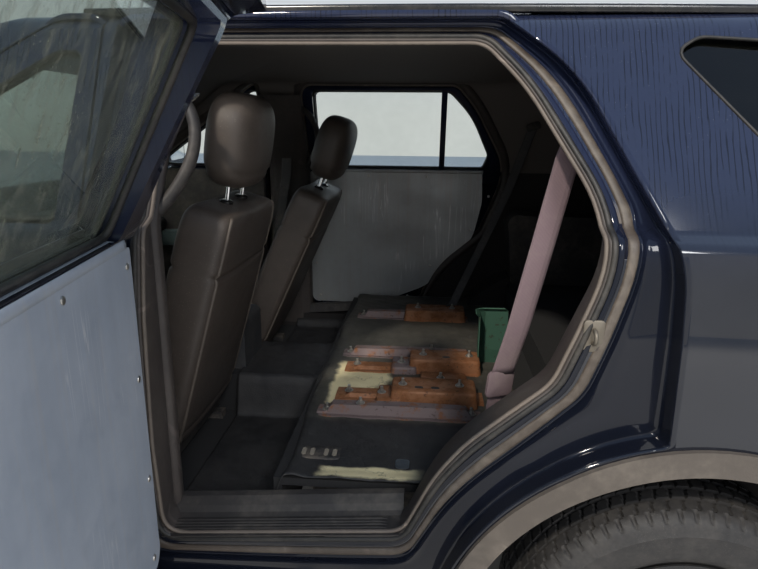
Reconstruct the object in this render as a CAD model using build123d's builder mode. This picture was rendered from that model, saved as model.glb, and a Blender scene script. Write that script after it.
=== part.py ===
"""Large police SUV as separate panels, doors, wheels and cabin pieces.

Millimetres. Forward is -X, the vehicle's left is -Y, up is +Z. The floor is Z = 0, and X = 0 lies
in the centre plane, midway between the axles.
"""
import os
from math import atan2, cos, hypot, radians, sin, tan

from build123d import *

os.makedirs("parts", exist_ok=True)

# Driving dimensions
wheelbase = 2865.0
track = 1702.0
tyre_radius = 363.0
tyre_width = 245.0
rim_seat_radius = 229.0
rim_lip_radius = 241.0
roof_height = 1758.0
sill_bottom = 300.0
belt_height = 1275.0
seal_half_width = 853.0
axle_front = -wheelbase / 2
axle_rear = wheelbase / 2
wheel_y = track / 2

# Clearances
shut_gap = 6.0          # between a moving panel and its neighbour
hinge_gap = 12.0        # ahead of a door's, lid's or tailgate's hinged edge
lap_gap = 12.0          # behind a door skin's rim, where it laps the body
seal_gap = 20.0         # round a door's inner part, left for the rubber seal
fit_gap = 0.5           # between pieces that are fixed to each other

# Wall thicknesses
skin_thick = 14.0
panel_thick = 40.0      # bonnet, bumpers and the rim of a door that laps the body
tailgate_thick = 72.0   # also the depth of the lamps
glass_thick = 5.0
sheet_thick = 3.0

# Limits of every form, larger than the vehicle
reach_x = 3200.0
reach_y = 1300.0
reach_z = 2000.0

# Side silhouette, columns: x, z, corner radius
side_outline = [
    (-2310, 240, 40), (-1930, 240, 30), (-1880, sill_bottom, 20), (1960, sill_bottom, 20),
    (2180, 340, 60), (2560, 345, 60), (2630, 500, 120), (2624, 700, 40), (2568, 775, 50),
    (2560, 1020, 300), (2492, 1256, 60), (2313, 1692, 40),
    (1500, 1756, 4000), (420, roof_height + 15, 2600), (-60, 1708, 600), (-930, 1184, 60),
    (-1560, 1112, 3000), (-2190, 1014, 500), (-2312, 930, 70), (-2374, 640, 260),
    (-2388, 470, 200), (-2372, 330, 90)]
# Half of the cross section, columns: y, z, corner radius
section_half = [
    (905, 200, 0), (905, 330, 60), (960, 480, 160), (990, 800, 420), (978, 1080, 500),
    (945, 1262, 30), (908, 1281, 20), (696, 1698, 95), (0, roof_height + 16, 9000)]
# Half of the plan, columns: x, y, corner radius
plan_half = [
    (-2394, 0, 3600), (-2352, 640, 260), (-2170, 880, 420), (-1860, 985, 700), (-1300, 998, 0),
    (1900, 998, 1600), (2420, 955, 420), (2570, 800, 200), (2634, 0, 3600)]
# Upper edge of the wings, across a plane that climbs to the rear, columns: y, height, radius
crown_half = [(1200, -900, 0), (1200, -330, 0), (900, -10, 90), (560, 75, 600), (0, 95, 2000)]
crown_start = (-2200, 930)
crown_slope = 14.5

# Room inside, columns as above
cavity_side = [
    (-868, 200, 0), (2446, 200, 0), (2446, 980, 200), (2372, 1250, 60), (2236, 1648, 60),
    (1500, 1700, 3000), (420, 1712, 2600), (-40, 1650, 300), (-868, 1120, 40)]
cavity_half = [
    (seal_half_width, 180, 0), (seal_half_width, 1272, 20), (640, 1652, 70), (0, 1716, 8000)]

# Doors
front_door_front = -770.0
door_split = 170.0
door_bottom = 425.0
pillar_rake = 0.6375    # climb of the windscreen pillar per unit of run
frame_gap = 14.0         # taken off each door frame at the roof, where it leans in from its hinge
hinge_set_in = 30.0     # hinge pin behind the door's front edge
hinge_y = 970.0
hinge_heights = (700.0, 1000.0)
hinge_pocket = 48.0     # depth of the pillar's pocket beyond the pin
pin_radius = 5.0
pin_clear = 0.3
knuckle_radius = 8.0
knuckle_half = 10.0
lug_high = 14.0
lug_gap = 1.0
door_reach = 600.0      # no door or side window lies nearer to the centre plane
rear_door_open = 80.0   # degrees, as it stands
rear_arch_clear = 532.0  # radius of the rear door's cut-out about the axle
# Outlines, columns: x, z, corner radius
front_door_outline = [
    (front_door_front, door_bottom, 30), (door_split - hinge_gap / 2, door_bottom, 25),
    (door_split - hinge_gap / 2, belt_height, 0), (door_split - hinge_gap / 2 - frame_gap, 1686, 12),
    (44, 1686, 60), (front_door_front, 1166, 60)]
front_door_seal = [
    (-690, 553, 60), (98, 553, 60), (98, 1652, 40), (78, 1652, 60), (-712, 1150, 60)]
front_window = [(-490, belt_height, 25), (116, belt_height, 15), (116, 1624, 25), (57, 1624, 60)]
rear_door_outline = [
    (door_split + hinge_gap / 2, door_bottom, 25), (1338, door_bottom, 0), (1338, 1235, 260),
    (1158, 1578, 700), (1016, 1686, 60), (door_split + hinge_gap / 2 + frame_gap, 1686, 12),
    (door_split + hinge_gap / 2, belt_height, 0)]
rear_door_seal = [
    (283, 553, 55), (838, 598, 60), (925, 795, 600), (1135, 975, 120), (1250, 1272, 260),
    (1075, 1560, 500), (985, 1652, 70), (287, 1652, 60)]
rear_window = [
    (335, belt_height, 15), (1128, belt_height, 45), (1150, 1345, 90), (1062, 1520, 400),
    (955, 1624, 70), (345, 1624, 30)]
window_bar_x = 930.0
window_bar_width = 26.0
security_panel_outline = [
    (294, 600, 45), (640, 600, 200), (880, 700, 260), (1090, 930, 260), (1130, 1120, 160),
    (1124, 1262, 10), (294, 1256, 10)]


def both_sides(half, across_first=True):
    """Close a half outline over the centre plane; the column across the vehicle is named."""
    if across_first:
        other = [(-a, b, r) for a, b, r in reversed(half) if a != 0]
    else:
        other = [(a, -b, r) for a, b, r in half if b != 0]
        return other + list(reversed(half)) if half[0][1] else [half[0]] + other + list(reversed(half[1:]))
    return list(half) + other


def inset(points, by):
    """Move every side of a counter-clockwise outline inwards, its corner radii with it."""
    if by == 0:
        return list(points)
    count = len(points)
    lines = []
    for i in range(count):
        ax, ay, _ = points[i]
        bx, by_, _ = points[(i + 1) % count]
        length = hypot(bx - ax, by_ - ay)
        ux, uy = (bx - ax) / length, (by_ - ay) / length
        lines.append((ax - uy * by, ay + ux * by, ux, uy))
    moved = []
    for i in range(count):
        px, py, ux, uy = lines[i - 1]
        qx, qy, vx, vy = lines[i]
        cross = ux * vy - uy * vx
        if abs(cross) < 1e-9:
            x, y = qx, qy
        else:
            along = ((qx - px) * vy - (qy - py) * vx) / cross
            x, y = px + ux * along, py + uy * along
        radius = points[i][2]
        if radius:
            radius = max(radius - by, 1.0) if cross > 0 else max(radius + by, 1.0)
        moved.append((x, y, radius))
    return moved


def outline_face(points, plane):
    """Face inside a closed outline whose corners are tangent arcs."""
    count = len(points)
    stops = []
    for i in range(count):
        ax, ay, _ = points[i - 1]
        bx, by, radius = points[i]
        cx, cy, _ = points[(i + 1) % count]
        back = hypot(ax - bx, ay - by)
        ahead = hypot(cx - bx, cy - by)
        ux, uy = (ax - bx) / back, (ay - by) / back
        vx, vy = (cx - bx) / ahead, (cy - by) / ahead
        half_turn = (3.141592653589793 - abs(atan2(ux * vy - uy * vx, ux * vx + uy * vy))) / 2
        if radius == 0 or half_turn < 1e-4:
            stops.append(((bx, by), (bx, by), None))
            continue
        run = min(radius * tan(half_turn), 0.47 * back, 0.47 * ahead)
        start = (bx + ux * run, by + uy * run)
        end = (bx + vx * run, by + vy * run)
        sag = run * tan(half_turn / 2)
        mx, my = (start[0] + end[0]) / 2, (start[1] + end[1]) / 2
        away = hypot(bx - mx, by - my)
        middle = (mx + (bx - mx) / away * sag, my + (by - my) / away * sag)
        stops.append((start, end, middle))
    with BuildSketch(plane, mode=Mode.PRIVATE) as flat:
        with BuildLine():
            for i in range(count):
                start, end, middle = stops[i]
                if middle:
                    ThreePointArc(start, middle, end)
                Line(end, stops[(i + 1) % count][0])
        make_face()
    return flat.sketch


def side_prism(points, y_low, y_high):
    """Solid behind an x, z outline, between two values of y."""
    return extrude(outline_face(points, Plane.XZ.offset(-y_high)), amount=y_high - y_low,
                   mode=Mode.PRIVATE)


def plan_prism(points, z_low, z_high):
    """Solid over an x, y outline, between two heights."""
    return extrude(outline_face(points, Plane.XY.offset(z_low)), amount=z_high - z_low,
                   mode=Mode.PRIVATE)


def cross_prism(points, x_low, x_high):
    """Solid along X over a y, z outline."""
    return extrude(outline_face(points, Plane.YZ.offset(x_low)), amount=x_high - x_low,
                   mode=Mode.PRIVATE)


def block(x_low, x_high, y_low, y_high, z_low, z_high):
    """Box between its limits."""
    middle = ((x_low + x_high) / 2, (y_low + y_high) / 2, (z_low + z_high) / 2)
    return Pos(*middle) * Box(x_high - x_low, y_high - y_low, z_high - z_low, mode=Mode.PRIVATE)


def cross_disc(x, z, radius, y_low, y_high):
    """Round bar along Y."""
    middle = Pos(x, (y_low + y_high) / 2, z) * Rot(90, 0, 0)
    return middle * Cylinder(radius, y_high - y_low, mode=Mode.PRIVATE)


def mirrored(solid):
    """The same piece on the vehicle's other side."""
    return mirror(solid, about=Plane.XZ, mode=Mode.PRIVATE)


def body_form(by):
    """The vehicle's outer form, or the form that lies by millimetres inside it."""
    side = side_prism(inset(side_outline, by), -reach_y, reach_y)
    plan = plan_prism(inset(both_sides(plan_half, False), by), 0, reach_z)
    section = cross_prism(inset(both_sides(section_half), by), -reach_x, reach_x)
    climb = radians(crown_slope)
    crown_plane = Plane(origin=(crown_start[0], 0, crown_start[1]), x_dir=(0, 1, 0),
                        z_dir=(cos(climb), 0, sin(climb)))
    crown = extrude(outline_face(inset(both_sides(crown_half), by), crown_plane), amount=reach_x,
                    both=True, mode=Mode.PRIVATE)
    crown = crown & block(-reach_x, front_door_front, -reach_y, reach_y, 0, reach_z)
    crown += block(front_door_front, reach_x, -reach_y, reach_y, 0, reach_z)
    return side & plan & section & crown



# The forms that the panels are cut from
outer = body_form(0)
under_skin = body_form(skin_thick)
under_panel = body_form(panel_thick)
under_lap = body_form(panel_thick + lap_gap)
under_tailgate = body_form(tailgate_thick)
under_skin_lap = body_form(skin_thick + lap_gap)
cavity = side_prism(cavity_side, -reach_y, reach_y) & cross_prism(
    both_sides(cavity_half), -reach_x, reach_x)
panel_ring = outer - under_panel
lap_ring = outer - under_lap
wall_ring = outer - cavity


def left_of(points, gap=0.0):
    """Prism behind a side outline on the left, smaller by a gap all round."""
    return side_prism(inset(points, gap), -reach_y, -door_reach)


def door_body(outline, seal, window):
    """Left door, closed: a rim that laps the body, a thick inner part, and a window hole."""
    rim = left_of(outline) & panel_ring
    inner = left_of(seal, seal_gap) & wall_ring
    return (rim + inner) - left_of(window)


glass_ring = under_skin - body_form(skin_thick + glass_thick)
skin_ring = outer - under_skin
lamp_ring = outer - under_tailgate

# Arches: centre heights and radii, the same on both axles
arch_radius = 468.0
wheelhouse_radius = 446.0
cladding_reach = 520.0
rear_arch_cut = cross_disc(axle_rear, tyre_radius, rear_arch_clear - shut_gap, -reach_y, reach_y)
rear_door_prism_cut = cross_disc(axle_rear, tyre_radius, rear_arch_clear, -reach_y, reach_y)

# Bonnet plan and its surround
bonnet_front = -2262.0
bonnet_rear = -906.0
bonnet_side = 868.0
bonnet_outline = [
    (bonnet_front, -620, 120), (-2180, -bonnet_side, 160), (bonnet_rear, -bonnet_side, 20),
    (bonnet_rear, bonnet_side, 20), (-2180, bonnet_side, 160), (bonnet_front, 620, 120)]
bonnet_low = 880.0
bonnet_room = plan_prism(bonnet_outline, bonnet_low, reach_z) & lap_ring

# Tailgate, seen from behind, columns: y, z, corner radius
tailgate_half = [(610, 756, 40), (668, 1000, 200), (716, 1262, 120), (622, 1602, 60), (622, 1900, 0)]
tailgate_front = 2242.0
tailgate_window_half = [(548, 1262, 60), (628, 1290, 50), (528, 1612, 50)]
tailgate_gap = 8.0
tailgate_seal_in = 52.0
tailgate_frame_in = 68.0

# Lamps, columns: x, z, corner radius
headlamp_outline = [
    (-2440, 752, 0), (-2200, 760, 80), (-1962, 868, 30), (-1990, 1010, 40), (-2262, 1010, 0),
    (-2440, 1010, 0)]
headlamp_inner = 560.0
tail_lamp_outline = [(2402, 888, 20), (2640, 888, 0), (2640, 1168, 0), (2372, 1168, 40)]
tail_lamp_inner = 732.0

# Front face
fascia_rear = -1990.0
fascia_top = 745.0
grille_half = 540.0
grille_low = 640.0
grille_high = 925.0
intake_half = 430.0
intake_low = 330.0
intake_high = 470.0

headlamp_prism = side_prism(headlamp_outline, -reach_y, -headlamp_inner)
headlamp_room = headlamp_prism + mirrored(headlamp_prism)
tail_lamp_prism = side_prism(tail_lamp_outline, -reach_y, -tail_lamp_inner)
tail_lamp_room = tail_lamp_prism + mirrored(tail_lamp_prism)
front_arch_cut = cross_disc(axle_front, tyre_radius, arch_radius, -reach_y, reach_y)
rear_lip_cut = cross_disc(axle_rear, tyre_radius, arch_radius, -reach_y, reach_y)

# Rear bumper
rear_bumper_top = 742.0
rear_bumper_front = 1950.0

# Floor heights and edges
footwell_z = 480.0
platform_z = 640.0
platform_front = 515.0
load_floor_z = 760.0
load_floor_front = 1250.0
floor_thick = 20.0
tunnel_half = 150.0
tunnel_z = 620.0
floor_half = 790.0
sill_top = 550.0
sill_rear = 930.0
tub_in, tub_out = 690.0, 985.0
tub_low = 462.0

# Front structure
firewall_x = -900.0
rail_in, rail_out = 430.0, 520.0
rail_low, rail_high = 400.0, 520.0
inner_wing_y = 535.0
radiator_x = -2170.0
tower_half = 120.0

front_side_cut = left_of(front_door_outline, -shut_gap) - under_lap
front_side_cut += left_of(front_door_seal)
rear_side_cut = (left_of(rear_door_outline, -shut_gap) - rear_arch_cut) - under_lap
rear_side_cut += left_of(rear_door_seal)
front_pin_x = front_door_front + hinge_set_in
rear_pin_x = door_split + hinge_gap / 2 + hinge_set_in


def hinge_room(pin_x):
    """Pocket in the pillar for a left door's hinged edge."""
    return block(pin_x - hinge_set_in - hinge_gap, pin_x + 36, -reach_y, hinge_pocket - hinge_y,
                 door_bottom - shut_gap, belt_height - 12)


def hinge_post(pin_x):
    """Body side of a left door's hinges: pin, lugs and their leaves to the pillar."""
    post = None
    for z in hinge_heights:
        high = knuckle_half + lug_gap + lug_high
        part = Pos(pin_x, -hinge_y, z) * Cylinder(pin_radius, 2 * high, mode=Mode.PRIVATE)
        for low in (z - high, z + high - lug_high):
            part += (Pos(pin_x, -hinge_y, low + lug_high / 2)
                     * Cylinder(knuckle_radius, lug_high, mode=Mode.PRIVATE))
            part += block(pin_x - 7, pin_x + 7, -hinge_y, hinge_pocket + 3 - hinge_y, low,
                          low + lug_high)
        post = part if post is None else post + part
    return post


def hinged_edge(door, pin_x):
    """Left door with notches in its front edge and a hinge knuckle in each."""
    for z in hinge_heights:
        door = door - block(pin_x - hinge_set_in - 1, pin_x + 14, -hinge_y - 13, -hinge_y + 60, z - 30,
                            z + 30)
        knuckle = Pos(pin_x, -hinge_y, z) * Cylinder(knuckle_radius, 2 * knuckle_half,
                                                     mode=Mode.PRIVATE)
        knuckle += block(pin_x, pin_x + 24, -hinge_y - 5, -hinge_y + 5, z - knuckle_half,
                         z + knuckle_half)
        knuckle -= Pos(pin_x, -hinge_y, z) * Cylinder(pin_radius + pin_clear, 80, mode=Mode.PRIVATE)
        door = door + knuckle
    return door


def cross_hinge_post(pin_x, pin_z, y, foot_x, foot_z):
    """Body side of a hinge whose pin lies along Y, with leaves to a foot."""
    high = knuckle_half + lug_gap + lug_high
    post = cross_disc(pin_x, pin_z, pin_radius, y - high, y + high)
    for low in (y - high, y + high - lug_high):
        post += cross_disc(pin_x, pin_z, knuckle_radius, low, low + lug_high)
        post += block(foot_x, pin_x + 7, low, low + lug_high, foot_z, pin_z)
    return post


def cross_hinge_knuckle(pin_x, pin_z, y, towards):
    """Moving side of such a hinge, its leaf pointing towards +1 or -1 along X."""
    low, high = sorted((pin_x, pin_x + towards * 26))
    knuckle = cross_disc(pin_x, pin_z, knuckle_radius, y - knuckle_half, y + knuckle_half)
    knuckle += block(low, high, y - knuckle_half, y + knuckle_half, pin_z - 5, pin_z + 5)
    return knuckle - cross_disc(pin_x, pin_z, pin_radius + pin_clear, y - 60, y + 60)


# Pins of the bonnet and the tailgate
bonnet_pin = (bonnet_rear - hinge_gap - 16, 1175.0)
bonnet_hinge_y = 755.0
tailgate_pin = (tailgate_front + hinge_gap + 24, 1681.0)
tailgate_hinge_y = 450.0
tailgate_trough = 37.0     # round the pin, clear of the edge in front of it
tailgate_header_z = 1612.0
quarter_window = [(1640, 1296, 90), (2120, 1300, 60), (2010, 1606, 90), (1400, 1648, 50), (1352, 1618, 40)]
windscreen_outline = [(-872, -700, 60), (-118, -575, 60), (-118, 575, 60), (-872, 700, 60)]

# Body shell: roof, pillars, quarters, sills, firewall, front rails and wheelhouses
with BuildPart() as body_shell:
    add(outer & block(front_door_front, reach_x, -reach_y, reach_y, 0, reach_z))
    add(outer & block(bonnet_rear, front_door_front, -bonnet_side, bonnet_side, 0, reach_z))
    add(under_skin & block(-935, front_door_front, -reach_y, reach_y, 0, reach_z))
    add(cavity, mode=Mode.SUBTRACT)
    add(bonnet_room, mode=Mode.SUBTRACT)
    for cut in (front_side_cut, rear_side_cut):
        add(cut, mode=Mode.SUBTRACT)
        add(mirrored(cut), mode=Mode.SUBTRACT)
    add(left_of(quarter_window), mode=Mode.SUBTRACT)
    add(mirrored(left_of(quarter_window)), mode=Mode.SUBTRACT)
    add(plan_prism(windscreen_outline, 1000, reach_z), mode=Mode.SUBTRACT)
    # tailgate opening with its rebate
    add((cross_prism(both_sides(tailgate_half), tailgate_front, reach_x) - under_skin_lap),
        mode=Mode.SUBTRACT)
    add(cross_prism(inset(both_sides(tailgate_half), tailgate_seal_in), 2200, reach_x)
        & block(0, reach_x, -reach_y, reach_y, 0, tailgate_header_z), mode=Mode.SUBTRACT)
    # trough that the front edge of the tailgate dips into
    add(cross_prism(both_sides(tailgate_half), tailgate_front, tailgate_pin[0] + tailgate_trough)
        & block(0, reach_x, -reach_y, reach_y, tailgate_pin[1] - tailgate_trough, reach_z),
        mode=Mode.SUBTRACT)
    # hinges
    for pin_x in (front_pin_x, rear_pin_x):
        room = hinge_room(pin_x)
        add(room, mode=Mode.SUBTRACT)
        add(mirrored(room), mode=Mode.SUBTRACT)
        post = hinge_post(pin_x)
        add(post)
        add(mirrored(post))
    for side in (-1, 1):
        add(cross_hinge_post(*tailgate_pin, side * tailgate_hinge_y, tailgate_front - 20,
                             tailgate_pin[1] - 14))
        add(cross_hinge_post(*bonnet_pin, side * bonnet_hinge_y, bonnet_pin[0] - 7, 880))
    # rear bumper, lamps and floor
    add(block(rear_bumper_front, reach_x, -reach_y, reach_y, 0, rear_bumper_top)
        - block(0, 2440, -700, 700, 0, reach_z), mode=Mode.SUBTRACT)
    add(tail_lamp_room & (outer - body_form(tailgate_thick + fit_gap)), mode=Mode.SUBTRACT)
    # rear wheelhouses
    for side in (-1, 1):
        low, high = sorted((side * tub_in, side * tub_out))
        add(cross_disc(axle_rear, tyre_radius, wheelhouse_radius + skin_thick, low, high)
            & under_skin & block(0, reach_x, -reach_y, reach_y, tub_low, reach_z))
        low, high = sorted((side * (tub_in + skin_thick), side * reach_y))
        add(cross_disc(axle_rear, tyre_radius, wheelhouse_radius, low, high), mode=Mode.SUBTRACT)
        low, high = sorted((side * (floor_half + fit_gap), side * (seal_half_width + 1)))
        add(block(firewall_x + 20, sill_rear, low, high, sill_bottom, sill_top))
    add(rear_lip_cut & (block(0, reach_x, 900, reach_y, 0, reach_z)
                        + block(0, reach_x, -reach_y, -900, 0, reach_z)), mode=Mode.SUBTRACT)
    # front rails, inner wings, towers and radiator support
    add(block(firewall_x - 20, firewall_x, -inner_wing_y, inner_wing_y, 400, 1090))
    for side in (-1, 1):
        low, high = sorted((side * rail_in, side * rail_out))
        add(block(-2200, firewall_x + 40, low, high, rail_low, rail_high))
        low, high = sorted((side * (inner_wing_y - 15), side * inner_wing_y))
        add(block(-1980, firewall_x, low, high, rail_high - 20, 940))
        low, high = sorted((side * (inner_wing_y - 15), side * 760))
        add(block(axle_front - tower_half, axle_front + tower_half, low, high, 900, 940))
        low, high = sorted((side * 740, side * 790))
        add(block(-1900, -920, low, high, 860, 910))
    add(block(radiator_x - 25, radiator_x, -700, 700, 400, 850))


# Floor pan: toe board, footwell, seat platform and load floor over one stepped sheet
pan_top = [
    (-867, 700), (-640, footwell_z), (platform_front, footwell_z), (platform_front, platform_z),
    (load_floor_front, platform_z), (load_floor_front, load_floor_z), (2438, load_floor_z)]
pan_under = [(x + floor_thick * dx, z - floor_thick) for (x, z), dx in
             zip(pan_top, (0, 0, 1, 1, 1, 1, 0))]
pan_outline = [(x, z, 0) for x, z in reversed(pan_top)] + [(x, z, 0) for x, z in pan_under]
with BuildPart() as floor_pan:
    add(side_prism(pan_outline, -floor_half, floor_half))
    add(block(-860, platform_front + 10, -tunnel_half, tunnel_half, footwell_z - floor_thick,
              tunnel_z))
    add(block(-900, platform_front - 20, -tunnel_half + floor_thick, tunnel_half - floor_thick,
              400, tunnel_z - floor_thick), mode=Mode.SUBTRACT)
    for side in (-1, 1):
        low, high = sorted((side * (690 - fit_gap), side * reach_y))
        add(cross_disc(axle_rear, tyre_radius, wheelhouse_radius + skin_thick + fit_gap, low, high),
            mode=Mode.SUBTRACT)

# Front wings
wing_half = bonnet_side + shut_gap
with BuildPart() as front_fenders:
    add(skin_ring & block(fascia_rear, front_door_front - hinge_gap, -reach_y, reach_y,
                          sill_bottom + 20, reach_z))
    add(block(-reach_x, 0, -wing_half, wing_half, 0, reach_z), mode=Mode.SUBTRACT)
    add(headlamp_room, mode=Mode.SUBTRACT)
    add(front_arch_cut, mode=Mode.SUBTRACT)

with BuildPart() as bonnet:
    add(plan_prism(inset(bonnet_outline, shut_gap), bonnet_low, reach_z) & panel_ring)
    add(block(bonnet_rear - hinge_gap, bonnet_rear, -reach_y, reach_y, 0, reach_z),
        mode=Mode.SUBTRACT)
    for side in (-1, 1):
        y = side * bonnet_hinge_y
        add(block(bonnet_pin[0] - 14, bonnet_rear, y - 32, y + 32, 0, bonnet_pin[1] + 10.5),
            mode=Mode.SUBTRACT)
        add(cross_hinge_knuckle(*bonnet_pin, y, -1))

# Front face with its grille and intake openings
grille_half_outline = [(430, grille_low, 40), (grille_half, 760, 30), (520, grille_high, 40)]
intake_half_outline = [(400, intake_low, 40), (intake_half, 400, 30), (400, intake_high, 40)]
with BuildPart() as front_bumper:
    add(panel_ring & block(-reach_x, fascia_rear - fit_gap, -reach_y, reach_y, 0, reach_z))
    for cut in (bonnet_room, headlamp_room, front_arch_cut):
        add(cut, mode=Mode.SUBTRACT)
    for half_outline in (grille_half_outline, intake_half_outline):
        add(cross_prism(both_sides(half_outline), -reach_x, -2150), mode=Mode.SUBTRACT)
    add((Pos(0, 0, -60) * under_panel) & block(-2230, 0, -reach_y, reach_y, 0, 300), mode=Mode.SUBTRACT)

# Grille: a rim and bars in each opening, columns: half outline, bar pitch, upright pitch
bar_height = 18.0
rim_width = 22.0
grille_depth = body_form(8.0) - under_panel
with BuildPart() as grille:
    for half_outline, low, high, pitch in ((grille_half_outline, grille_low, grille_high, 57.0),
                                           (intake_half_outline, intake_low, intake_high, 46.0)):
        room = cross_prism(inset(both_sides(half_outline), fit_gap), -reach_x, -2150)
        core = cross_prism(inset(both_sides(half_outline), rim_width), -reach_x, -2150)
        add((room - core) & grille_depth)
        z = low + pitch
        while z < high - pitch / 2:
            add(room & block(-reach_x, -2150, -reach_y, reach_y, z - bar_height / 2,
                             z + bar_height / 2) & grille_depth)
            z += pitch
        for y in (-360, -180, 0, 180, 360):
            add(room & block(-reach_x, -2150, y - 7, y + 7, low, high) & grille_depth)
    add(bonnet_room, mode=Mode.SUBTRACT)

with BuildPart() as headlamps:
    lamp = side_prism(inset(headlamp_outline, fit_gap), -reach_y, -headlamp_inner - fit_gap) & lamp_ring
    lamp = lamp - bonnet_room
    add(lamp)
    add(mirrored(lamp))

with BuildPart() as tail_lamps:
    lamp = side_prism(inset(tail_lamp_outline, fit_gap), -reach_y, -tail_lamp_inner - fit_gap) & lamp_ring
    add(lamp)
    add(mirrored(lamp))

with BuildPart() as fixed_glass:
    add(plan_prism(inset(windscreen_outline, fit_gap), 1000, reach_z) & glass_ring)
    pane = left_of(quarter_window, fit_gap) & glass_ring
    add(pane)
    add(mirrored(pane))

# Tailgate with its window hole and roof-end lip
tailgate_lip = [(2262, 1690, 0), (2300, 1600, 0), (2404, 1664, 8), (2398, 1694, 12), (2300, 1712, 0)]
with BuildPart() as tailgate:
    add(cross_prism(inset(both_sides(tailgate_half), tailgate_gap), tailgate_front + hinge_gap, reach_x)
        & skin_ring)
    add(cross_prism(inset(both_sides(tailgate_half), tailgate_frame_in), tailgate_front + hinge_gap,
                    reach_x) & lamp_ring & block(0, reach_x, -reach_y, reach_y, 0, tailgate_header_z - 16))
    add((side_prism(tailgate_lip, -560, 560) & block(2262, reach_x, -560, 560, 0, reach_z))
        - under_skin)
    for side in (-1, 1):
        y = side * tailgate_hinge_y
        add(block(2200, tailgate_pin[0] + 14, y - 32, y + 32, 0, reach_z),
            mode=Mode.SUBTRACT)
        add(cross_hinge_knuckle(*tailgate_pin, y, 1))
    add(cross_prism(both_sides(tailgate_window_half), 2200, reach_x)
        & block(2200, reach_x, -reach_y, reach_y, 0, tailgate_header_z), mode=Mode.SUBTRACT)

with BuildPart() as tailgate_glass:
    add(cross_prism(inset(both_sides(tailgate_window_half), fit_gap), 2330, reach_x) & glass_ring)

with BuildPart() as rear_bumper:
    add(panel_ring & block(rear_bumper_front + fit_gap, reach_x, -reach_y, reach_y, 0,
                           rear_bumper_top - fit_gap))
    add((Pos(0, 0, -80) * under_panel) & block(0, 2440, -reach_y, reach_y, 0, 500), mode=Mode.SUBTRACT)
    add(block(0, 2400, -800, 800, 0, reach_z), mode=Mode.SUBTRACT)

# Doors, closed, on the left
bar_low = window_bar_x - window_bar_width / 2
bar_high = window_bar_x + window_bar_width / 2
front_door = door_body(front_door_outline, front_door_seal, front_window)
rear_door = door_body(rear_door_outline, rear_door_seal, rear_window) - rear_door_prism_cut
rear_door += left_of(rear_window, -2) & block(bar_low, bar_high, -reach_y, 0, 0, reach_z) & panel_ring
front_pane = left_of(front_window, fit_gap) & glass_ring
rear_pane = left_of(rear_window, fit_gap) & glass_ring
rear_pane -= block(bar_low - fit_gap, bar_high + fit_gap, -reach_y, 0, 0, reach_z)
panel_face = seal_half_width - fit_gap
security_plate = side_prism(security_panel_outline, -panel_face, -panel_face + sheet_thick)

# Handles, columns: x of the front end, height
handle_length = 190.0
handle_rows = {"front": (-60.0, 1090.0), "rear": (1085.0, 1120.0)}


def handle(x, z):
    """Pull handle standing off the left skin: a bowed bar on two feet."""
    end = x + handle_length
    grip = plan_prism([(x, -1002, 8), (x + 20, -1024, 30), (end - 20, -1024, 30), (end, -1002, 8)],
                      z - 15, z + 15)
    for foot in (x + 14, end - 14):
        grip += plan_prism([(foot - 12, -960, 0), (foot - 9, -1010, 4), (foot + 9, -1010, 4),
                            (foot + 12, -960, 0)], z - 13, z + 13)
    return grip


armrest_outline = [(-400, 810, 30), (50, 830, 30), (60, 885, 25), (-380, 880, 30)]
front_door += side_prism(armrest_outline, -seal_half_width - 4, -seal_half_width + 62)
front_door = hinged_edge(front_door, front_pin_x) + handle(*handle_rows["front"])
rear_door = hinged_edge(rear_door, rear_pin_x) + handle(*handle_rows["rear"])

# Mirror on the front door. Its shell over x, y and over y, z, and its foot, with corner radii
mirror_plan = [(-472, -982, 30), (-470, -1196, 30), (-530, -1190, 70), (-578, -1080, 90), (-560, -985, 40)]
mirror_face = [(-1200, 1262, 60), (-980, 1246, 30), (-978, 1392, 60), (-1190, 1432, 60)]
mirror_foot_plan = [(-492, -915, 0), (-492, -1000, 10), (-550, -1000, 10), (-560, -915, 0)]
mirror_shell = plan_prism(mirror_plan, 1200, 1450) & cross_prism(mirror_face, -600, -460)
mirror_foot = plan_prism(mirror_foot_plan, 1248, 1290) - (left_of(front_door_outline) & outer)
left_mirror = mirror_shell + mirror_foot

rear_pin = (rear_pin_x, -hinge_y)


def swung(solid):
    """The rear left pieces, turned about their hinge to stand open."""
    pin = Pos(rear_pin[0], rear_pin[1], 0)
    return pin * Rot(0, 0, -rear_door_open) * Pos(-rear_pin[0], -rear_pin[1], 0) * solid


with BuildPart() as front_door_left:
    add(front_door)
with BuildPart() as front_door_right:
    add(mirrored(front_door))
with BuildPart() as rear_door_left:
    add(swung(rear_door))
with BuildPart() as rear_door_right:
    add(mirrored(rear_door))
with BuildPart() as front_glass_left:
    add(front_pane)
with BuildPart() as front_glass_right:
    add(mirrored(front_pane))
with BuildPart() as rear_glass_left:
    add(swung(rear_pane))
with BuildPart() as rear_glass_right:
    add(mirrored(rear_pane))
with BuildPart() as security_panel_left:
    add(swung(security_plate))
with BuildPart() as security_panel_right:
    add(mirrored(security_plate))
with BuildPart() as mirror_left:
    add(left_mirror)
with BuildPart() as mirror_right:
    add(mirrored(left_mirror))

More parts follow.
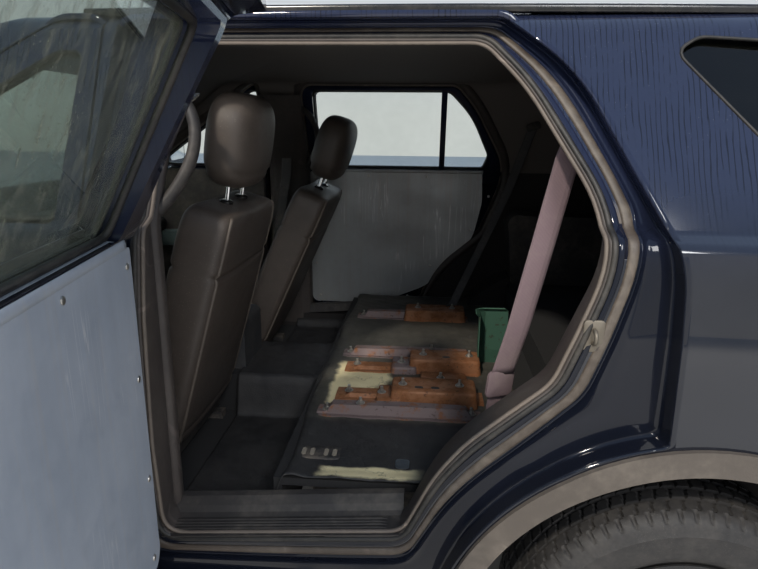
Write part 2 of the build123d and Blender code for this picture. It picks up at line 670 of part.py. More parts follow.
# Dashboard and centre console
driver_y = -390.0
wheel_centre = (-268, driver_y, 985)
wheel_tilt = 25.0
wheel_ring = 183.0
grip_radius = 14.0
spoke_thick = 16.0
column_length = 270.0
column_radius = 34.0
dash_outline = [
    (-860, 720, 30), (-600, 640, 60), (-486, 860, 60), (-440, 1000, 40), (-540, 1090, 60),
    (-860, 1092, 20)]
steer_tilt = Rot(0, 90 - wheel_tilt, 0)
hood_outline = [(-600, 1070, 10), (-450, 1040, 20), (-432, 1092, 20), (-470, 1128, 30), (-600, 1120, 20)]
screen_outline = [(-520, 940, 10), (-436, 930, 8), (-452, 1086, 10), (-520, 1086, 10)]
console_outline = [
    (-620, tunnel_z + fit_gap, 0), (235, tunnel_z + fit_gap, 0), (235, 800, 30), (-40, 806, 20),
    (-70, 742, 30), (-380, 748, 60), (-470, 900, 60), (-620, 900, 0)]
with BuildPart() as dashboard:
    add(side_prism(dash_outline, -836, 836))
    add(side_prism(hood_outline, driver_y - 180, driver_y + 180))
    add(side_prism(screen_outline, -125, 125))
    add(side_prism(console_outline, -105, 105))
    add(Pos(*wheel_centre) * steer_tilt * Pos(0, 0, -column_length)
        * Cylinder(column_radius + pin_clear, 2 * column_length, mode=Mode.PRIVATE),
        mode=Mode.SUBTRACT)

with BuildPart() as steering_wheel:
    with Locations(Pos(*wheel_centre) * steer_tilt):
        Torus(wheel_ring, grip_radius)
        with Locations((0, 0, -18)):
            Cylinder(62, 44)
        with Locations((0, 0, -20 - column_length / 2)):
            Cylinder(column_radius, column_length - 40)
        with Locations((0, 0, -5)):
            Box(30, 2 * wheel_ring - 8, spoke_thick)
        with Locations((wheel_ring / 2, 0, -5)):
            Box(wheel_ring, 34, spoke_thick)

# Front seats, columns: y of the middle, shift to the rear, degrees that the back leans further
seat_rows = [(driver_y, -80.0, 6.0), (-driver_y, -60.0, 13.0)]
seat_hinge = (200.0, 640.0)
seat_half = 235.0
cushion_outline = [(-200, 640, 50), (255, 600, 40), (270, 740, 40), (-190, 775, 50)]
back_outline = [(150, 640, 40), (285, 600, 40), (400, 1262, 50), (262, 1285, 50)]
head_outline = [(276, 1318, 40), (392, 1312, 45), (396, 1548, 50), (284, 1556, 45)]
# The same seen from the front, columns: y from the middle, z, corner radius
back_half = [(seat_half, 590, 60), (seat_half, 1080, 300), (186, 1292, 80)]
head_half = [(112, 1304, 50), (135, 1428, 60), (112, 1560, 60)]
with BuildPart() as front_seats:
    for y, shift, lean in seat_rows:
        back = (side_prism(back_outline, y - seat_half, y + seat_half)
                & (Pos(0, y, 0) * cross_prism(both_sides(back_half), -reach_x, reach_x)))
        back += (side_prism(head_outline, y - 135, y + 135)
                 & (Pos(0, y, 0) * cross_prism(both_sides(head_half), -reach_x, reach_x)))
        for post in (-65, 65):
            back += Pos(332, y + post, 1290) * Cylinder(7, 120, mode=Mode.PRIVATE)
        hinge = Pos(seat_hinge[0], 0, seat_hinge[1])
        seat = hinge * Rot(0, lean, 0) * Pos(-seat_hinge[0], 0, -seat_hinge[1]) * back
        seat += side_prism(cushion_outline, y - seat_half, y + seat_half)
        seat += block(-150, 240, y - 215, y + 215, footwell_z + fit_gap, 655)
        add(Pos(shift, 0, 0) * seat)


def strap(start, end, width=48.0, thick=3.0):
    """Flat band between two points, its width as near as may be to X."""
    run = Vector(*end) - Vector(*start)
    across = Vector(1, 0, 0) - run * (run.X / run.length ** 2)
    plane = Plane(origin=start, x_dir=across.normalized(), z_dir=run.normalized())
    return plane * Pos(0, 0, run.length / 2) * Box(width, thick, run.length, mode=Mode.PRIVATE)


# Rear belts: bands that hang from the pillar guides, columns: points from the guide down
belt_runs = [
    [(1180, -716, 1440), (1092, -700, 1010), (1060, -690, 890)],
    [(1329, 716, 1483), (1229, 775, 1166), (983, 513, platform_z + 40)]]
with BuildPart() as rear_belts:
    for run in belt_runs:
        for start, end in zip(run, run[1:]):
            add(strap(start, end))
        for knee in run[1:]:
            add(Pos(*knee) * Box(64, 14, 40, mode=Mode.PRIVATE))
        side = -1 if run[0][1] < 0 else 1
        wall = seal_half_width - (run[0][2] - 1272) * (seal_half_width - 640) / (1652 - 1272)
        low, high = sorted((side * (wall + 2), run[0][1] - side * 6))
        add(block(run[0][0] - 34, run[0][0] + 34, low, high, run[0][2] - 45, run[0][2] + 12) & cavity)

# Brackets of the missing rear seat, columns: y, x from, x to
bracket_rows = [(-450, 562, 1040), (18, 574, 1073), (470, 574, 1073)]
seat_studs_x = (640.0, 980.0)
# Latch boxes across the near brackets, columns: x of the middle, y from, y to
latch_rows = [(780.0, -450, 18), (900.0, -450, 18), (1034.0, -448, -300)]
stud_radius = 5.0
stud_length = 30.0
with BuildPart() as seat_brackets:
    for y, start, end in bracket_rows:
        base = platform_z + fit_gap
        bracket = block(start, end, y - 28, y + 28, base, base + 6)
        bracket += block(start, end, y - 3, y + 3, base, base + 46)
        for x in seat_studs_x:
            bracket += (Pos(x, y + 16, base + 6 + stud_length / 2)
                        * Cylinder(stud_radius, stud_length, mode=Mode.PRIVATE))
        add(bracket)
    for x, low, high in latch_rows:
        add(side_prism([(x - 34, platform_z + fit_gap, 0), (x + 34, platform_z + fit_gap, 0),
                        (x + 26, platform_z + 44, 10), (x - 26, platform_z + 44, 10)], low, high))
    add(block(780, 900, -450, 18, platform_z + fit_gap, platform_z + 5))

# Trim over the rear wheelhouses, with its ledge
trim_outline = [(1268, 764, 20), (2400, 764, 20), (2360, 1072, 30), (1236, 1085, 60)]
trim_in = 672.0
with BuildPart() as pillar_trim:
    trim = side_prism(trim_outline, -seal_half_width + fit_gap, -trim_in)
    trim -= cross_disc(axle_rear, tyre_radius, wheelhouse_radius + skin_thick + fit_gap, -reach_y,
                       -690 + fit_gap)
    trim -= block(1400, 2300, -seal_half_width, -trim_in - 20, 900, 1060)
    trim = trim & block(0, 2430, -reach_y, 0, load_floor_z + fit_gap, reach_z)
    add(trim)
    add(mirrored(trim))

# Heavy and underside pieces
engine_bottom = 340.0
pipe_radius = 30.0
muffler_radius = 100.0
with BuildPart() as engine:
    add(block(-1880, -1060, -390, 390, engine_bottom, 930))
with BuildPart() as fuel_tank:
    add(plan_prism([(570, -620, 60), (1090, -620, 60), (1090, 10, 60), (570, 10, 60)], 330,
                   platform_z - floor_thick - fit_gap))
with BuildPart() as exhaust:
    with BuildLine() as run:
        FilletPolyline((-780, 60, 520), (-640, 60, 380), (1090, 60, 380), (1190, 60, 480),
                       (1780, 60, 480), radius=80)
    with BuildSketch(Plane(origin=run.line @ 0, z_dir=run.line % 0)):
        Circle(pipe_radius)
    sweep(path=run.line)
    with Locations(Pos(1850, 60, 480) * Rot(90, 0, 0)):
        Cylinder(muffler_radius, 700)
    for y in (-220, 340):
        with Locations(Pos(2080, y, 455) * Rot(0, 90, 0)):
            Cylinder(pipe_radius, 340)
    # hangers under the tunnel and the load floor
    add(block(290, 310, 50, 70, 395, tunnel_z - floor_thick - fit_gap))
    add(block(1840, 1860, 50, 70, 560, load_floor_z - floor_thick - fit_gap))

# Arch cladding and sill strips, standing proud of the panels
clad_ring = body_form(-12.0) - body_form(-fit_gap)
with BuildPart() as arch_cladding:
    for x in (axle_front, axle_rear):
        ring = cross_disc(x, tyre_radius, cladding_reach, -reach_y, reach_y)
        ring -= cross_disc(x, tyre_radius, arch_radius, -reach_y, reach_y)
        add(ring & clad_ring & block(-reach_x, reach_x, -reach_y, reach_y, sill_bottom + 6, reach_z))
    add(clad_ring & block(axle_front + 420, axle_rear - 420, -reach_y, reach_y, 0, door_bottom - 8))
    for x in (axle_front, axle_rear):
        add(cross_disc(x, tyre_radius, arch_radius, -reach_y, reach_y), mode=Mode.SUBTRACT)
    add(block(-reach_x, reach_x, -890, 890, 0, reach_z), mode=Mode.SUBTRACT)

# Wheels. Profiles over the wheel's width, columns: across, radius
tyre_half = [(0, 363), (52, 362), (94, 356), (113, 340), (122.5, 300), (118, 262), (105, 243),
             (99, 234)]
groove_depth = 8.0
grooves = [(-58, 9), (-20, 10), (20, 10), (58, 9)]
rim_profile = [
    (108, 241), (108, 233), (96, 229), (60, 229), (40, 206), (-60, 206), (-74, 229), (-96, 229),
    (-108, 233), (-108, 241), (-113, 241), (-113, 226), (-78, 220), (-64, 198), (40, 198), (60, 220),
    (96, 221), (113, 228), (113, 241)]
disc_offset = 44.5
seat_clear = 0.4


def wheel_plane(x, side):
    """Plane through a wheel's axis, its first direction pointing out of the vehicle."""
    return Plane(origin=(x, side * wheel_y, tyre_radius), x_dir=(0, side, 0), z_dir=(side * 1.0, 0, 0))


def turned(profile, x, side):
    """Ring turned about the wheel's axis, from an across, radius profile."""
    plane = wheel_plane(x, side)
    with BuildPart(mode=Mode.PRIVATE) as ring:
        with BuildSketch(plane):
            with BuildLine():
                Polyline(*profile, close=True)
            make_face()
        revolve(axis=Axis((x, side * wheel_y, tyre_radius), (0, side, 0)))
    return ring.part


def tyre(x, side):
    """Tyre with four grooves round its tread."""
    base = rim_seat_radius + seat_clear
    outline = [(-a, r) for a, r in reversed(tyre_half)] + tyre_half[1:]
    solid = turned(outline + [(95, base), (-95, base)], x, side)
    for across, width in grooves:
        cut = [(across - width / 2, tyre_radius - groove_depth), (across + width / 2, tyre_radius - groove_depth),
               (across + width / 2, tyre_radius + 5), (across - width / 2, tyre_radius + 5)]
        solid -= turned(cut, x, side)
    return solid


hub_face = wheel_y + disc_offset
spindle_radius = 22.0
spindle_end = -4.0
disc_vents = 12
brake_radius = 170.0


def rim(x, side):
    """Steel rim: barrel, dished disc with vents, hub cap and the brake disc behind it."""
    solid = turned(rim_profile, x, side)
    dish = [(disc_offset - 10, 0), (disc_offset, 0), (disc_offset, 84), (disc_offset + 22, 118),
            (disc_offset + 20, 160), (28, 200), (16, 200), (disc_offset + 8, 154),
            (disc_offset + 10, 122), (disc_offset - 10, 92)]
    solid += turned(dish, x, side)
    solid += turned([(disc_offset, 0), (disc_offset + 34, 0), (disc_offset + 30, 26), (disc_offset, 33)], x, side)
    solid += turned([(-50, 0), (disc_offset - 10, 0), (disc_offset - 10, 78), (-22, 78),
                     (-22, brake_radius), (-50, brake_radius)], x, side)
    solid -= turned([(-51, 0), (spindle_end + 1, 0), (spindle_end + 1, spindle_radius + pin_clear),
                     (-51, spindle_radius + pin_clear)], x, side)
    plane = wheel_plane(x, side)
    for i in range(disc_vents):
        turn = 360.0 / disc_vents * i
        hole = (Pos(x, side * (wheel_y + 45), tyre_radius) * Rot(0, turn, 0) * Pos(0, 0, 143)
                * Rot(90, 0, 0) * Cylinder(15, 60, mode=Mode.PRIVATE))
        solid -= hole
    for i in range(5):
        turn = 72.0 * i
        stud = (Pos(x, side * (hub_face + 8), tyre_radius) * Rot(0, turn, 0) * Pos(0, 0, 57.15)
                * Rot(90, 0, 0) * Cylinder(10, 18, mode=Mode.PRIVATE))
        solid += stud
    return solid


def spindle(x, side):
    """Stub that the wheel turns on."""
    return turned([(785 - wheel_y, 0), (spindle_end, 0), (spindle_end, spindle_radius),
                   (785 - wheel_y, spindle_radius)], x, side)


# Steering axis: ball joint below, strut top above
ball_y, ball_z = 768.0, 209.0
ball_radius = 9.0
arm_top = 215.0


def ball_stud(x, side):
    """Ball and neck under a knuckle."""
    stud = Pos(x, side * ball_y, ball_z) * Sphere(ball_radius, mode=Mode.PRIVATE)
    return stud + Pos(x, side * ball_y, ball_z + 12) * Cylinder(5, 24, mode=Mode.PRIVATE)


strut_y, strut_z = 625.0, 892.0


def front_knuckle(side):
    """Hub carrier with its strut, on the steering axis."""
    x = axle_front
    low, high = sorted((side * 684, side * 792))
    solid = side_prism([(x - 40, 235, 20), (x + 40, 235, 20), (x + 58, 363, 60), (x + 36, 500, 20),
                        (x - 36, 500, 20), (x - 58, 363, 60)], low, high)
    axis = Vector(0, side * (strut_y - ball_y), strut_z - ball_z).normalized()
    top = Vector(x, side * strut_y, strut_z)
    plane = Plane(origin=top, z_dir=-axis)
    strut = plane * Pos(0, 0, 225) * Cylinder(26, 450, mode=Mode.PRIVATE)
    spring = plane * Pos(0, 0, 80) * Cylinder(58, 148, mode=Mode.PRIVATE)
    solid += strut + spring
    low, high = sorted((side * 748, side * 788))
    solid += block(x - 24, x + 24, low, high, arm_top + 6, 260)
    # caliper astride the brake disc, behind the axle
    low, high = sorted((side * 770, side * 858))
    caliper = block(x + 105, x + 184, low, high, 335, 391)
    low, high = sorted((side * (wheel_y - 50 - 6), side * (wheel_y - 22 + 6)))
    caliper -= block(x, x + 176, low, high, 0, 700)
    low, high = sorted((side * 740, side * 790))
    caliper += block(x + 40, x + 150, low, high, 335, 391)
    return solid + caliper + spindle(x, side) + ball_stud(x, side)


with BuildPart() as knuckle_front_left:
    add(front_knuckle(-1))
with BuildPart() as knuckle_front_right:
    add(front_knuckle(1))

# Front subframe with its lower arms, whose ends hold the ball joints
arm_outline = [
    (axle_front - 28, -ball_y - 22, 20), (axle_front + 28, -ball_y - 22, 20), (-1330, -560, 60), (-1190, -400, 20),
    (-1560, -400, 20), (-1500, -520, 60)]
front_frame_outline = [(-1640, -420, 60), (-1150, -420, 60), (-1150, 420, 60), (-1640, 420, 60)]
with BuildPart() as front_subframe:
    add(plan_prism(front_frame_outline, 235, 300))
    add(plan_prism(inset(front_frame_outline, 110), 200, 320), mode=Mode.SUBTRACT)
    arm = plan_prism(arm_outline, arm_top - 22, arm_top)
    arm += block(-1560, -1190, -430, -395, arm_top - 22, 260)
    arm -= Pos(axle_front, -ball_y, ball_z) * Sphere(ball_radius + pin_clear, mode=Mode.PRIVATE)
    add(arm)
    add(mirrored(arm))
    for side in (-1, 1):
        for x in (-1620, -1170):
            add(Pos(x, side * 475, 320) * Box(70, 120, 160 - 2 * fit_gap, mode=Mode.PRIVATE))
            add(block(x - 30, x + 30, side * 300 - 30, side * 300 + 30, 300, engine_bottom - fit_gap))

# Rear axle: crossmember, arms and hub carriers
rear_frame_outline = [
    (axle_rear - 170, -430, 60), (axle_rear + 170, -430, 60), (axle_rear + 170, 430, 60),
    (axle_rear - 170, 430, 60)]
lower_arm_outline = [
    (axle_rear - 160, -400, 20), (axle_rear + 150, -400, 20), (axle_rear + 70, -770, 40),
    (axle_rear - 70, -770, 40)]
upper_arm_outline = [
    (axle_rear - 60, -410, 20), (axle_rear + 60, -410, 20), (axle_rear + 34, -740, 20),
    (axle_rear - 34, -740, 20)]
carrier_outline = [
    (axle_rear - 70, 290, 30), (axle_rear + 70, 290, 30), (axle_rear + 56, 450, 30),
    (axle_rear - 56, 450, 30)]
spring_y, spring_foot, spring_neck = 600.0, 320.0, 598.0
with BuildPart() as rear_axle:
    add(plan_prism(rear_frame_outline, 330, 420))
    add(plan_prism(inset(rear_frame_outline, 90), 300, 450), mode=Mode.SUBTRACT)
    left = plan_prism(lower_arm_outline, 300, 345) + plan_prism(upper_arm_outline, 385, 430)
    left += side_prism(carrier_outline, -792, -690)
    top = load_floor_z - floor_thick - fit_gap
    left += (Pos(axle_rear, -spring_y, (spring_foot + spring_neck) / 2)
             * Cylinder(38, spring_neck - spring_foot, mode=Mode.PRIVATE))
    left += (Pos(axle_rear, -spring_y, (spring_neck + top) / 2 - 1)
             * Cylinder(60, top - spring_neck + 2, mode=Mode.PRIVATE))
    left += spindle(axle_rear, -1)
    add(left)
    add(mirrored(left))

# Wheels, columns: name, axle x, side
wheel_rows = [("front_left", axle_front, -1), ("front_right", axle_front, 1),
              ("rear_left", axle_rear, -1), ("rear_right", axle_rear, 1)]
wheels = {}
for name, x, side in wheel_rows:
    with BuildPart() as tyre_piece:
        add(tyre(x, side))
    with BuildPart() as rim_piece:
        add(rim(x, side))
    wheels["tyre_" + name] = tyre_piece
    wheels["rim_" + name] = rim_piece


def save(piece, name):
    """Label a piece and write it."""
    piece.part.label = name
    export_step(piece.part, "parts/" + name + ".step")


pieces = {
    "body_shell": body_shell, "floor_pan": floor_pan, "front_fenders": front_fenders,
    "bonnet": bonnet, "front_bumper": front_bumper, "grille": grille, "headlamps": headlamps,
    "tail_lamps": tail_lamps, "fixed_glass": fixed_glass, "tailgate": tailgate,
    "tailgate_glass": tailgate_glass, "rear_bumper": rear_bumper,
    "front_door_left": front_door_left, "front_door_right": front_door_right,
    "rear_door_left": rear_door_left, "rear_door_right": rear_door_right,
    "front_glass_left": front_glass_left, "front_glass_right": front_glass_right,
    "rear_glass_left": rear_glass_left, "rear_glass_right": rear_glass_right,
    "security_panel_left": security_panel_left, "security_panel_right": security_panel_right,
    "mirror_left": mirror_left, "mirror_right": mirror_right, "dashboard": dashboard,
    "steering_wheel": steering_wheel, "front_seats": front_seats, "rear_belts": rear_belts,
    "seat_brackets": seat_brackets, "pillar_trim": pillar_trim, "engine": engine,
    "fuel_tank": fuel_tank, "exhaust": exhaust, "arch_cladding": arch_cladding,
    "front_subframe": front_subframe, "rear_axle": rear_axle,
    "knuckle_front_left": knuckle_front_left, "knuckle_front_right": knuckle_front_right}
pieces.update(wheels)
for name, piece in pieces.items():
    save(piece, name)
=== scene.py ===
# %% [markdown]
# A police SUV, dressed for its picture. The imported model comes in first: its
# pieces are real-sized solids that already stand where they belong. This lesson
# gives every one of them a finish and adds what solids can't show well, such as
# leather seats, door seals, belts and tyre tread.

# %% Load the frame
import math
import bmesh
import bpy
import numpy as np
from mathutils import Matrix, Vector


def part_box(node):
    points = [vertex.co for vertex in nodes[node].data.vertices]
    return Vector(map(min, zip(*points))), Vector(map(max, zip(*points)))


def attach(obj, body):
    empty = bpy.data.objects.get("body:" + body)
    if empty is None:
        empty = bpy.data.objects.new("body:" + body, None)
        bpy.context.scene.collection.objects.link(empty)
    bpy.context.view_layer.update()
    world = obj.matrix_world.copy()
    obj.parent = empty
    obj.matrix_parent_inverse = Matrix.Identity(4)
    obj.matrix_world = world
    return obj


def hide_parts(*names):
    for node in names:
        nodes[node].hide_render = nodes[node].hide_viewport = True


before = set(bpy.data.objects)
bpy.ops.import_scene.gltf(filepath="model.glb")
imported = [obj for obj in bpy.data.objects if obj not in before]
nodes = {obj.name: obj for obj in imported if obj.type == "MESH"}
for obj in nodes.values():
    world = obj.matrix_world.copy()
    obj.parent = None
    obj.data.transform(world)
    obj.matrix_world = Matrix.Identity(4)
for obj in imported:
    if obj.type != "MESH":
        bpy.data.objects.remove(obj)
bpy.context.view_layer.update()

# %% [markdown]
# The camera stands where the photographer stood, beside the open rear door. Its
# place came from lines that can be measured on such a vehicle: the doorway, the
# wheel and the far window. A camera's columns are its right, its up and the
# direction behind it, so three angles are enough to write the matrix.

# %% Camera
camera_at = np.array([0.871, -2.031, 1.467])
yaw, pitch, roll = np.radians([4.68, 14.96, 0.54])
focal_pixels = 588.6
photo_width = 758                       # pixels
sensor_width = 36                       # millimetres


def camera_matrix(at, yaw, pitch, roll):
    """Right, up and back columns of a camera turned left by yaw, down by pitch, then rolled."""
    ahead = np.array([-math.sin(yaw), math.cos(yaw), 0])
    right = np.array([math.cos(yaw), math.sin(yaw), 0])
    up = np.array([0, 0, 1.0])
    view = ahead * math.cos(pitch) - up * math.sin(pitch)
    top = up * math.cos(pitch) + ahead * math.sin(pitch)
    matrix = np.eye(4)
    matrix[:3, 0] = right * math.cos(roll) + top * math.sin(roll)
    matrix[:3, 1] = top * math.cos(roll) - right * math.sin(roll)
    matrix[:3, 2] = -view
    matrix[:3, 3] = at
    return matrix


camera = bpy.data.objects.new("camera", bpy.data.cameras.new("camera"))
camera.data.sensor_width = sensor_width
camera.data.lens = sensor_width * focal_pixels / photo_width
camera.data.clip_start = 0.02
camera.matrix_world = Matrix(camera_matrix(camera_at, yaw, pitch, roll).tolist())
bpy.context.scene.collection.objects.link(camera)
bpy.context.scene.camera = camera
print("lens", round(camera.data.lens, 2), "mm")

# %% [markdown]
# A material is a small program. Writing it with Python's own signs keeps it
# short: `Value` wraps one output socket, so that `1 - dust * 0.4` adds the Math
# nodes by itself. Everything else goes through one method, `Finish.node`.

# %% Shader expressions
class Value:
    """An output socket that can be added, multiplied and clamped."""

    def __init__(self, finish, socket):
        self.finish = finish
        self.socket = socket

    def _math(self, operation, a, b=0.0, clamp=False):
        return self.finish.node("ShaderNodeMath", {"operation": operation, "use_clamp": clamp}, {0: a, 1: b})

    def __add__(self, other):
        return self._math("ADD", self, other)

    def __sub__(self, other):
        return self._math("SUBTRACT", self, other)

    def __rsub__(self, other):
        return self._math("SUBTRACT", other, self)

    def __mul__(self, other):
        return self._math("MULTIPLY", self, other)

    def __pow__(self, other):
        return self._math("POWER", self, other)

    __radd__ = __add__
    __rmul__ = __mul__

    def most(self, other):
        return self._math("MAXIMUM", self, other)

    def size(self):
        """The value without its sign."""
        return self._math("ABSOLUTE", self)

    def clamped(self):
        return self._math("ADD", self, 0.0, True)

    def above(self, edge, soft=0.1):
        """0 below edge, 1 above it, with a soft step between."""
        return self.finish.node("ShaderNodeMapRange", {"interpolation_type": "SMOOTHSTEP"},
                                {0: self, 1: edge - soft / 2, 2: edge + soft / 2, 3: 0.0, 4: 1.0})


class Finish:
    """A material being made. Constant sockets are given by name when it starts."""

    def __init__(self, name, **constants):
        self.material = bpy.data.materials.new(name)
        self.material.use_nodes = True
        self.tree = self.material.node_tree
        self.shader = self.tree.nodes["Principled BSDF"]
        for key, value in constants.items():
            self.shader.inputs[key.replace("_", " ")].default_value = value

    def node(self, kind, settings=None, inputs=None, output=0):
        """Any node: its settings first, then the values or links of its sockets."""
        made = self.tree.nodes.new(kind)
        for key, value in (settings or {}).items():
            setattr(made, key, value)
        for key, value in (inputs or {}).items():
            if isinstance(value, Value):
                self.tree.links.new(value.socket, made.inputs[key])
            else:
                made.inputs[key].default_value = value
        return Value(self, made.outputs[output])

    def place(self, stretch=(1, 1, 1), turn=(0, 0, 0), shift=(0, 0, 0)):
        """Object coordinates in metres, stretched, turned and shifted."""
        where = self.node("ShaderNodeTexCoord", output="Object")
        return self.node("ShaderNodeMapping", None,
                         {"Vector": where, "Scale": stretch, "Rotation": turn, "Location": shift})

    def axis(self, letter, where=None):
        """One coordinate of the place, in metres."""
        where = where or self.node("ShaderNodeTexCoord", output="Object")
        return self.node("ShaderNodeSeparateXYZ", None, {0: where}, "XYZ".index(letter))

    def noise(self, scale, detail=4.0, rough=0.55, **mapping):
        return self.node("ShaderNodeTexNoise", None, {
            "Vector": self.place(**mapping), "Scale": scale, "Detail": detail, "Roughness": rough})

    def cells(self, scale, feature="F1", output="Distance", **mapping):
        return self.node("ShaderNodeTexVoronoi", {"feature": feature},
                         {"Vector": self.place(**mapping), "Scale": scale}, output)

    def bands(self, scale, direction="X", distortion=0.0, detail=2.0, profile="SIN", **mapping):
        """Parallel bands, a wave along one direction."""
        return self.node("ShaderNodeTexWave", {"wave_type": "BANDS", "bands_direction": direction,
                                               "wave_profile": profile},
                         {"Vector": self.place(**mapping), "Scale": scale, "Distortion": distortion,
                          "Detail": detail}, "Fac")

    def mix(self, factor, a, b):
        """Colour between a and b."""
        made = self.tree.nodes.new("ShaderNodeMix")
        made.data_type = "RGBA"
        for index, value in ((0, factor), (6, a), (7, b)):
            if isinstance(value, Value):
                self.tree.links.new(value.socket, made.inputs[index])
            else:
                made.inputs[index].default_value = value if index == 0 else (*value, 1)
        return Value(self, made.outputs[2])

    def bump(self, height, strength=0.3, distance=0.001, under=None):
        inputs = {"Height": height, "Strength": strength, "Distance": distance}
        if under is not None:
            inputs["Normal"] = under
        return self.node("ShaderNodeBump", None, inputs)

    def set(self, **links):
        for key, value in links.items():
            self.tree.links.new(value.socket, self.shader.inputs[key.replace("_", " ")])
        return self.material


def shade(colour, by):
    """The same colour, lighter or darker."""
    return tuple(min(1.0, c * by) for c in colour)


# %% [markdown]
# Dust and wear are what tell a used vehicle from a new one. The finishes below
# share three patterns: `film`, a soft patchy veil, `tracks`, the fine wavy lines
# that drying rain leaves down a panel, and `specks`, dust grains that catch the
# light. Each finish mixes its clean colour with a dust colour by these masks, and
# the same masks make it rougher.

# %% Dust masks
dust_colour = (0.36, 0.31, 0.25)


def film(finish, size=3.0, low=0.42, high=0.72):
    """Patchy veil from 0 to 1."""
    broad = finish.noise(size, 5, 0.6)
    fine = finish.noise(size * 9, 3, 0.6)
    return (broad * 0.7 + fine * 0.3).above((low + high) / 2, high - low)


def tracks(finish, scale=29.0):
    """Thin wavy lines down a panel, about 11 mm apart."""
    run = finish.bands(scale, "X", 5.0, 3.0, stretch=(1, 0.35, 0.13), turn=(0, 0.06, 0))
    line = run.above(0.90, 0.16)
    gaps = finish.noise(22.0, 3, 0.65, stretch=(1, 1, 0.25)).above(0.45, 0.25)
    return line * gaps


def specks(finish, scale=70.0, size=0.09):
    """Small separate dots."""
    dots = 1 - finish.cells(scale).above(size, size * 0.6)
    return dots * finish.noise(9.0, 3, 0.6).above(0.5, 0.12)


# %% [markdown]
# The paint is a very dark blue-black under a clear coat. What makes it read as
# black gloss is the coat's mirror, so its roughness stays near zero. The leaning
# upper panels are painted lighter and bluer, a painted reflection of the sky.
# The rain lines and dots lie thick on the leaning upper panels and fade below the
# belt line, where the side is upright and cleaner.

# %% Paint
def paint_layers(f, dirt, clean=(0.0055, 0.0070, 0.0130)):
    """Colour with a painted sky reflection up high, roughness, coat weight and normal of the dusty paint."""
    upper = f.axis("Z").above(1.30, 0.25)
    veil = film(f, 1.6, 0.35, 0.8)
    lines = tracks(f) * upper
    dots = specks(f, 110.0, 0.07) * upper
    mask = (veil * 0.06 + dots * 0.75) * dirt
    # painted reflection: the upper panels are lighter and bluer, for the sky they face
    colour = f.mix(upper * 0.8, clean, (0.017, 0.023, 0.054))
    colour = f.mix(mask.clamped(), colour, (0.16, 0.17, 0.19))
    colour = f.mix(lines * dirt, colour, (0.004, 0.005, 0.010))
    orange_peel = f.noise(260, 2, 0.5)
    coat = 1 - (mask * 0.75 + lines * dirt * 0.6).clamped()
    return colour, 0.10 + mask * 0.5, coat, f.bump(orange_peel, 0.03, 0.0004)


def paint(name, dirt, mirror=1.48):
    f = Finish(name, Coat_Roughness=0.02, Coat_IOR=mirror, Specular_IOR_Level=0.1)
    colour, rough, coat, normal = paint_layers(f, dirt)
    return f.set(Base_Color=colour, Roughness=rough, Coat_Weight=coat, Normal=normal)


body_paint = paint("paint_black", 0.8)
jamb_paint = paint("paint_jamb", 0.20, 1.33)
print("paint done")

# %% [markdown]
# Moulded plastic has a fine grain that breaks up its shine. A grain is a cell
# pattern a millimetre across, used as bump, with the roughness a little higher in
# the grooves. One function serves the dashboard, trims and cladding, each with
# its own colour, grain and dust.

# %% Plastics and rubber
def plastic(name, colour, grain=700.0, dirt=0.3, rough=0.55, depth=0.0004):
    f = Finish(name)
    mask = (film(f, 5.0) * dirt).clamped()
    cell = f.cells(grain)
    tone = f.noise(14, 4, 0.6)
    base = f.mix(tone, shade(colour, 0.8), shade(colour, 1.2))
    scuffs = f.bands(3.1, "DIAGONAL", 14.0, 3.0).above(0.985, 0.02) * f.noise(8, 2, 0.5).above(0.56, 0.08)
    base = f.mix(scuffs * 0.25, base, shade(colour, 3.2))
    return f.set(Base_Color=f.mix(mask, base, dust_colour), Roughness=rough + mask * 0.25 + cell * 0.08,
                 Normal=f.bump(cell, 0.35, depth))


trim_dark = plastic("trim_dark", (0.028, 0.025, 0.024), dirt=0.20)
trim_brown = plastic("trim_brown", (0.050, 0.041, 0.037), dirt=0.08, rough=0.5)
trim_pale = plastic("trim_pale", (0.27, 0.235, 0.185), dirt=0.15, rough=0.62)
dash_plastic = plastic("dash_plastic", (0.030, 0.031, 0.034), dirt=0.12, rough=0.6)
dash_teal = plastic("dash_teal", (0.055, 0.085, 0.088), dirt=0.1, rough=0.5)
gloss_black = plastic("gloss_black", (0.010, 0.010, 0.011), grain=1800, dirt=0.1, rough=0.14, depth=0.00005)
cladding_plastic = plastic("cladding_plastic", (0.088, 0.074, 0.062), grain=420, dirt=0.26, rough=0.55)
tank_plastic = plastic("tank_plastic", (0.020, 0.020, 0.021), dirt=0.5)
seal_dusty = plastic("seal_dusty", (0.060, 0.046, 0.036), grain=900, dirt=0.30, rough=0.42)
seal_rubber = plastic("seal_rubber", (0.013, 0.0125, 0.012), grain=1500, dirt=0.14, rough=0.45)
seal_brown = plastic("seal_brown", (0.150, 0.122, 0.100), grain=1300, dirt=0.20, rough=0.6)

# %% [markdown]
# Metals differ by what was done to them. The guard panel inside the rear door is
# brushed sheet: long fine lines down its face, a few thin scratches and a dull
# film. Both doors have the same panel; the near one is painted lighter and bluer,
# a painted reflection of the sky, and the far one darker and browner, painted
# shade. The brackets of the missing seat are rusty, with paint left in places.
# Cast and pressed parts under the floor are grey with road dirt.

# %% Metals
def scratches(finish, turn, scale=2.4):
    """A few thin straight scratches: sparse dark ridges of a stretched noise."""
    run = finish.noise(scale, 2, 0.5, turn=turn, stretch=(14, 14, 0.6))
    line = 1 - ((run - 0.5).size() * 70).clamped()
    return line * finish.noise(3.0, 2, 0.5, turn=turn).above(0.60, 0.05)


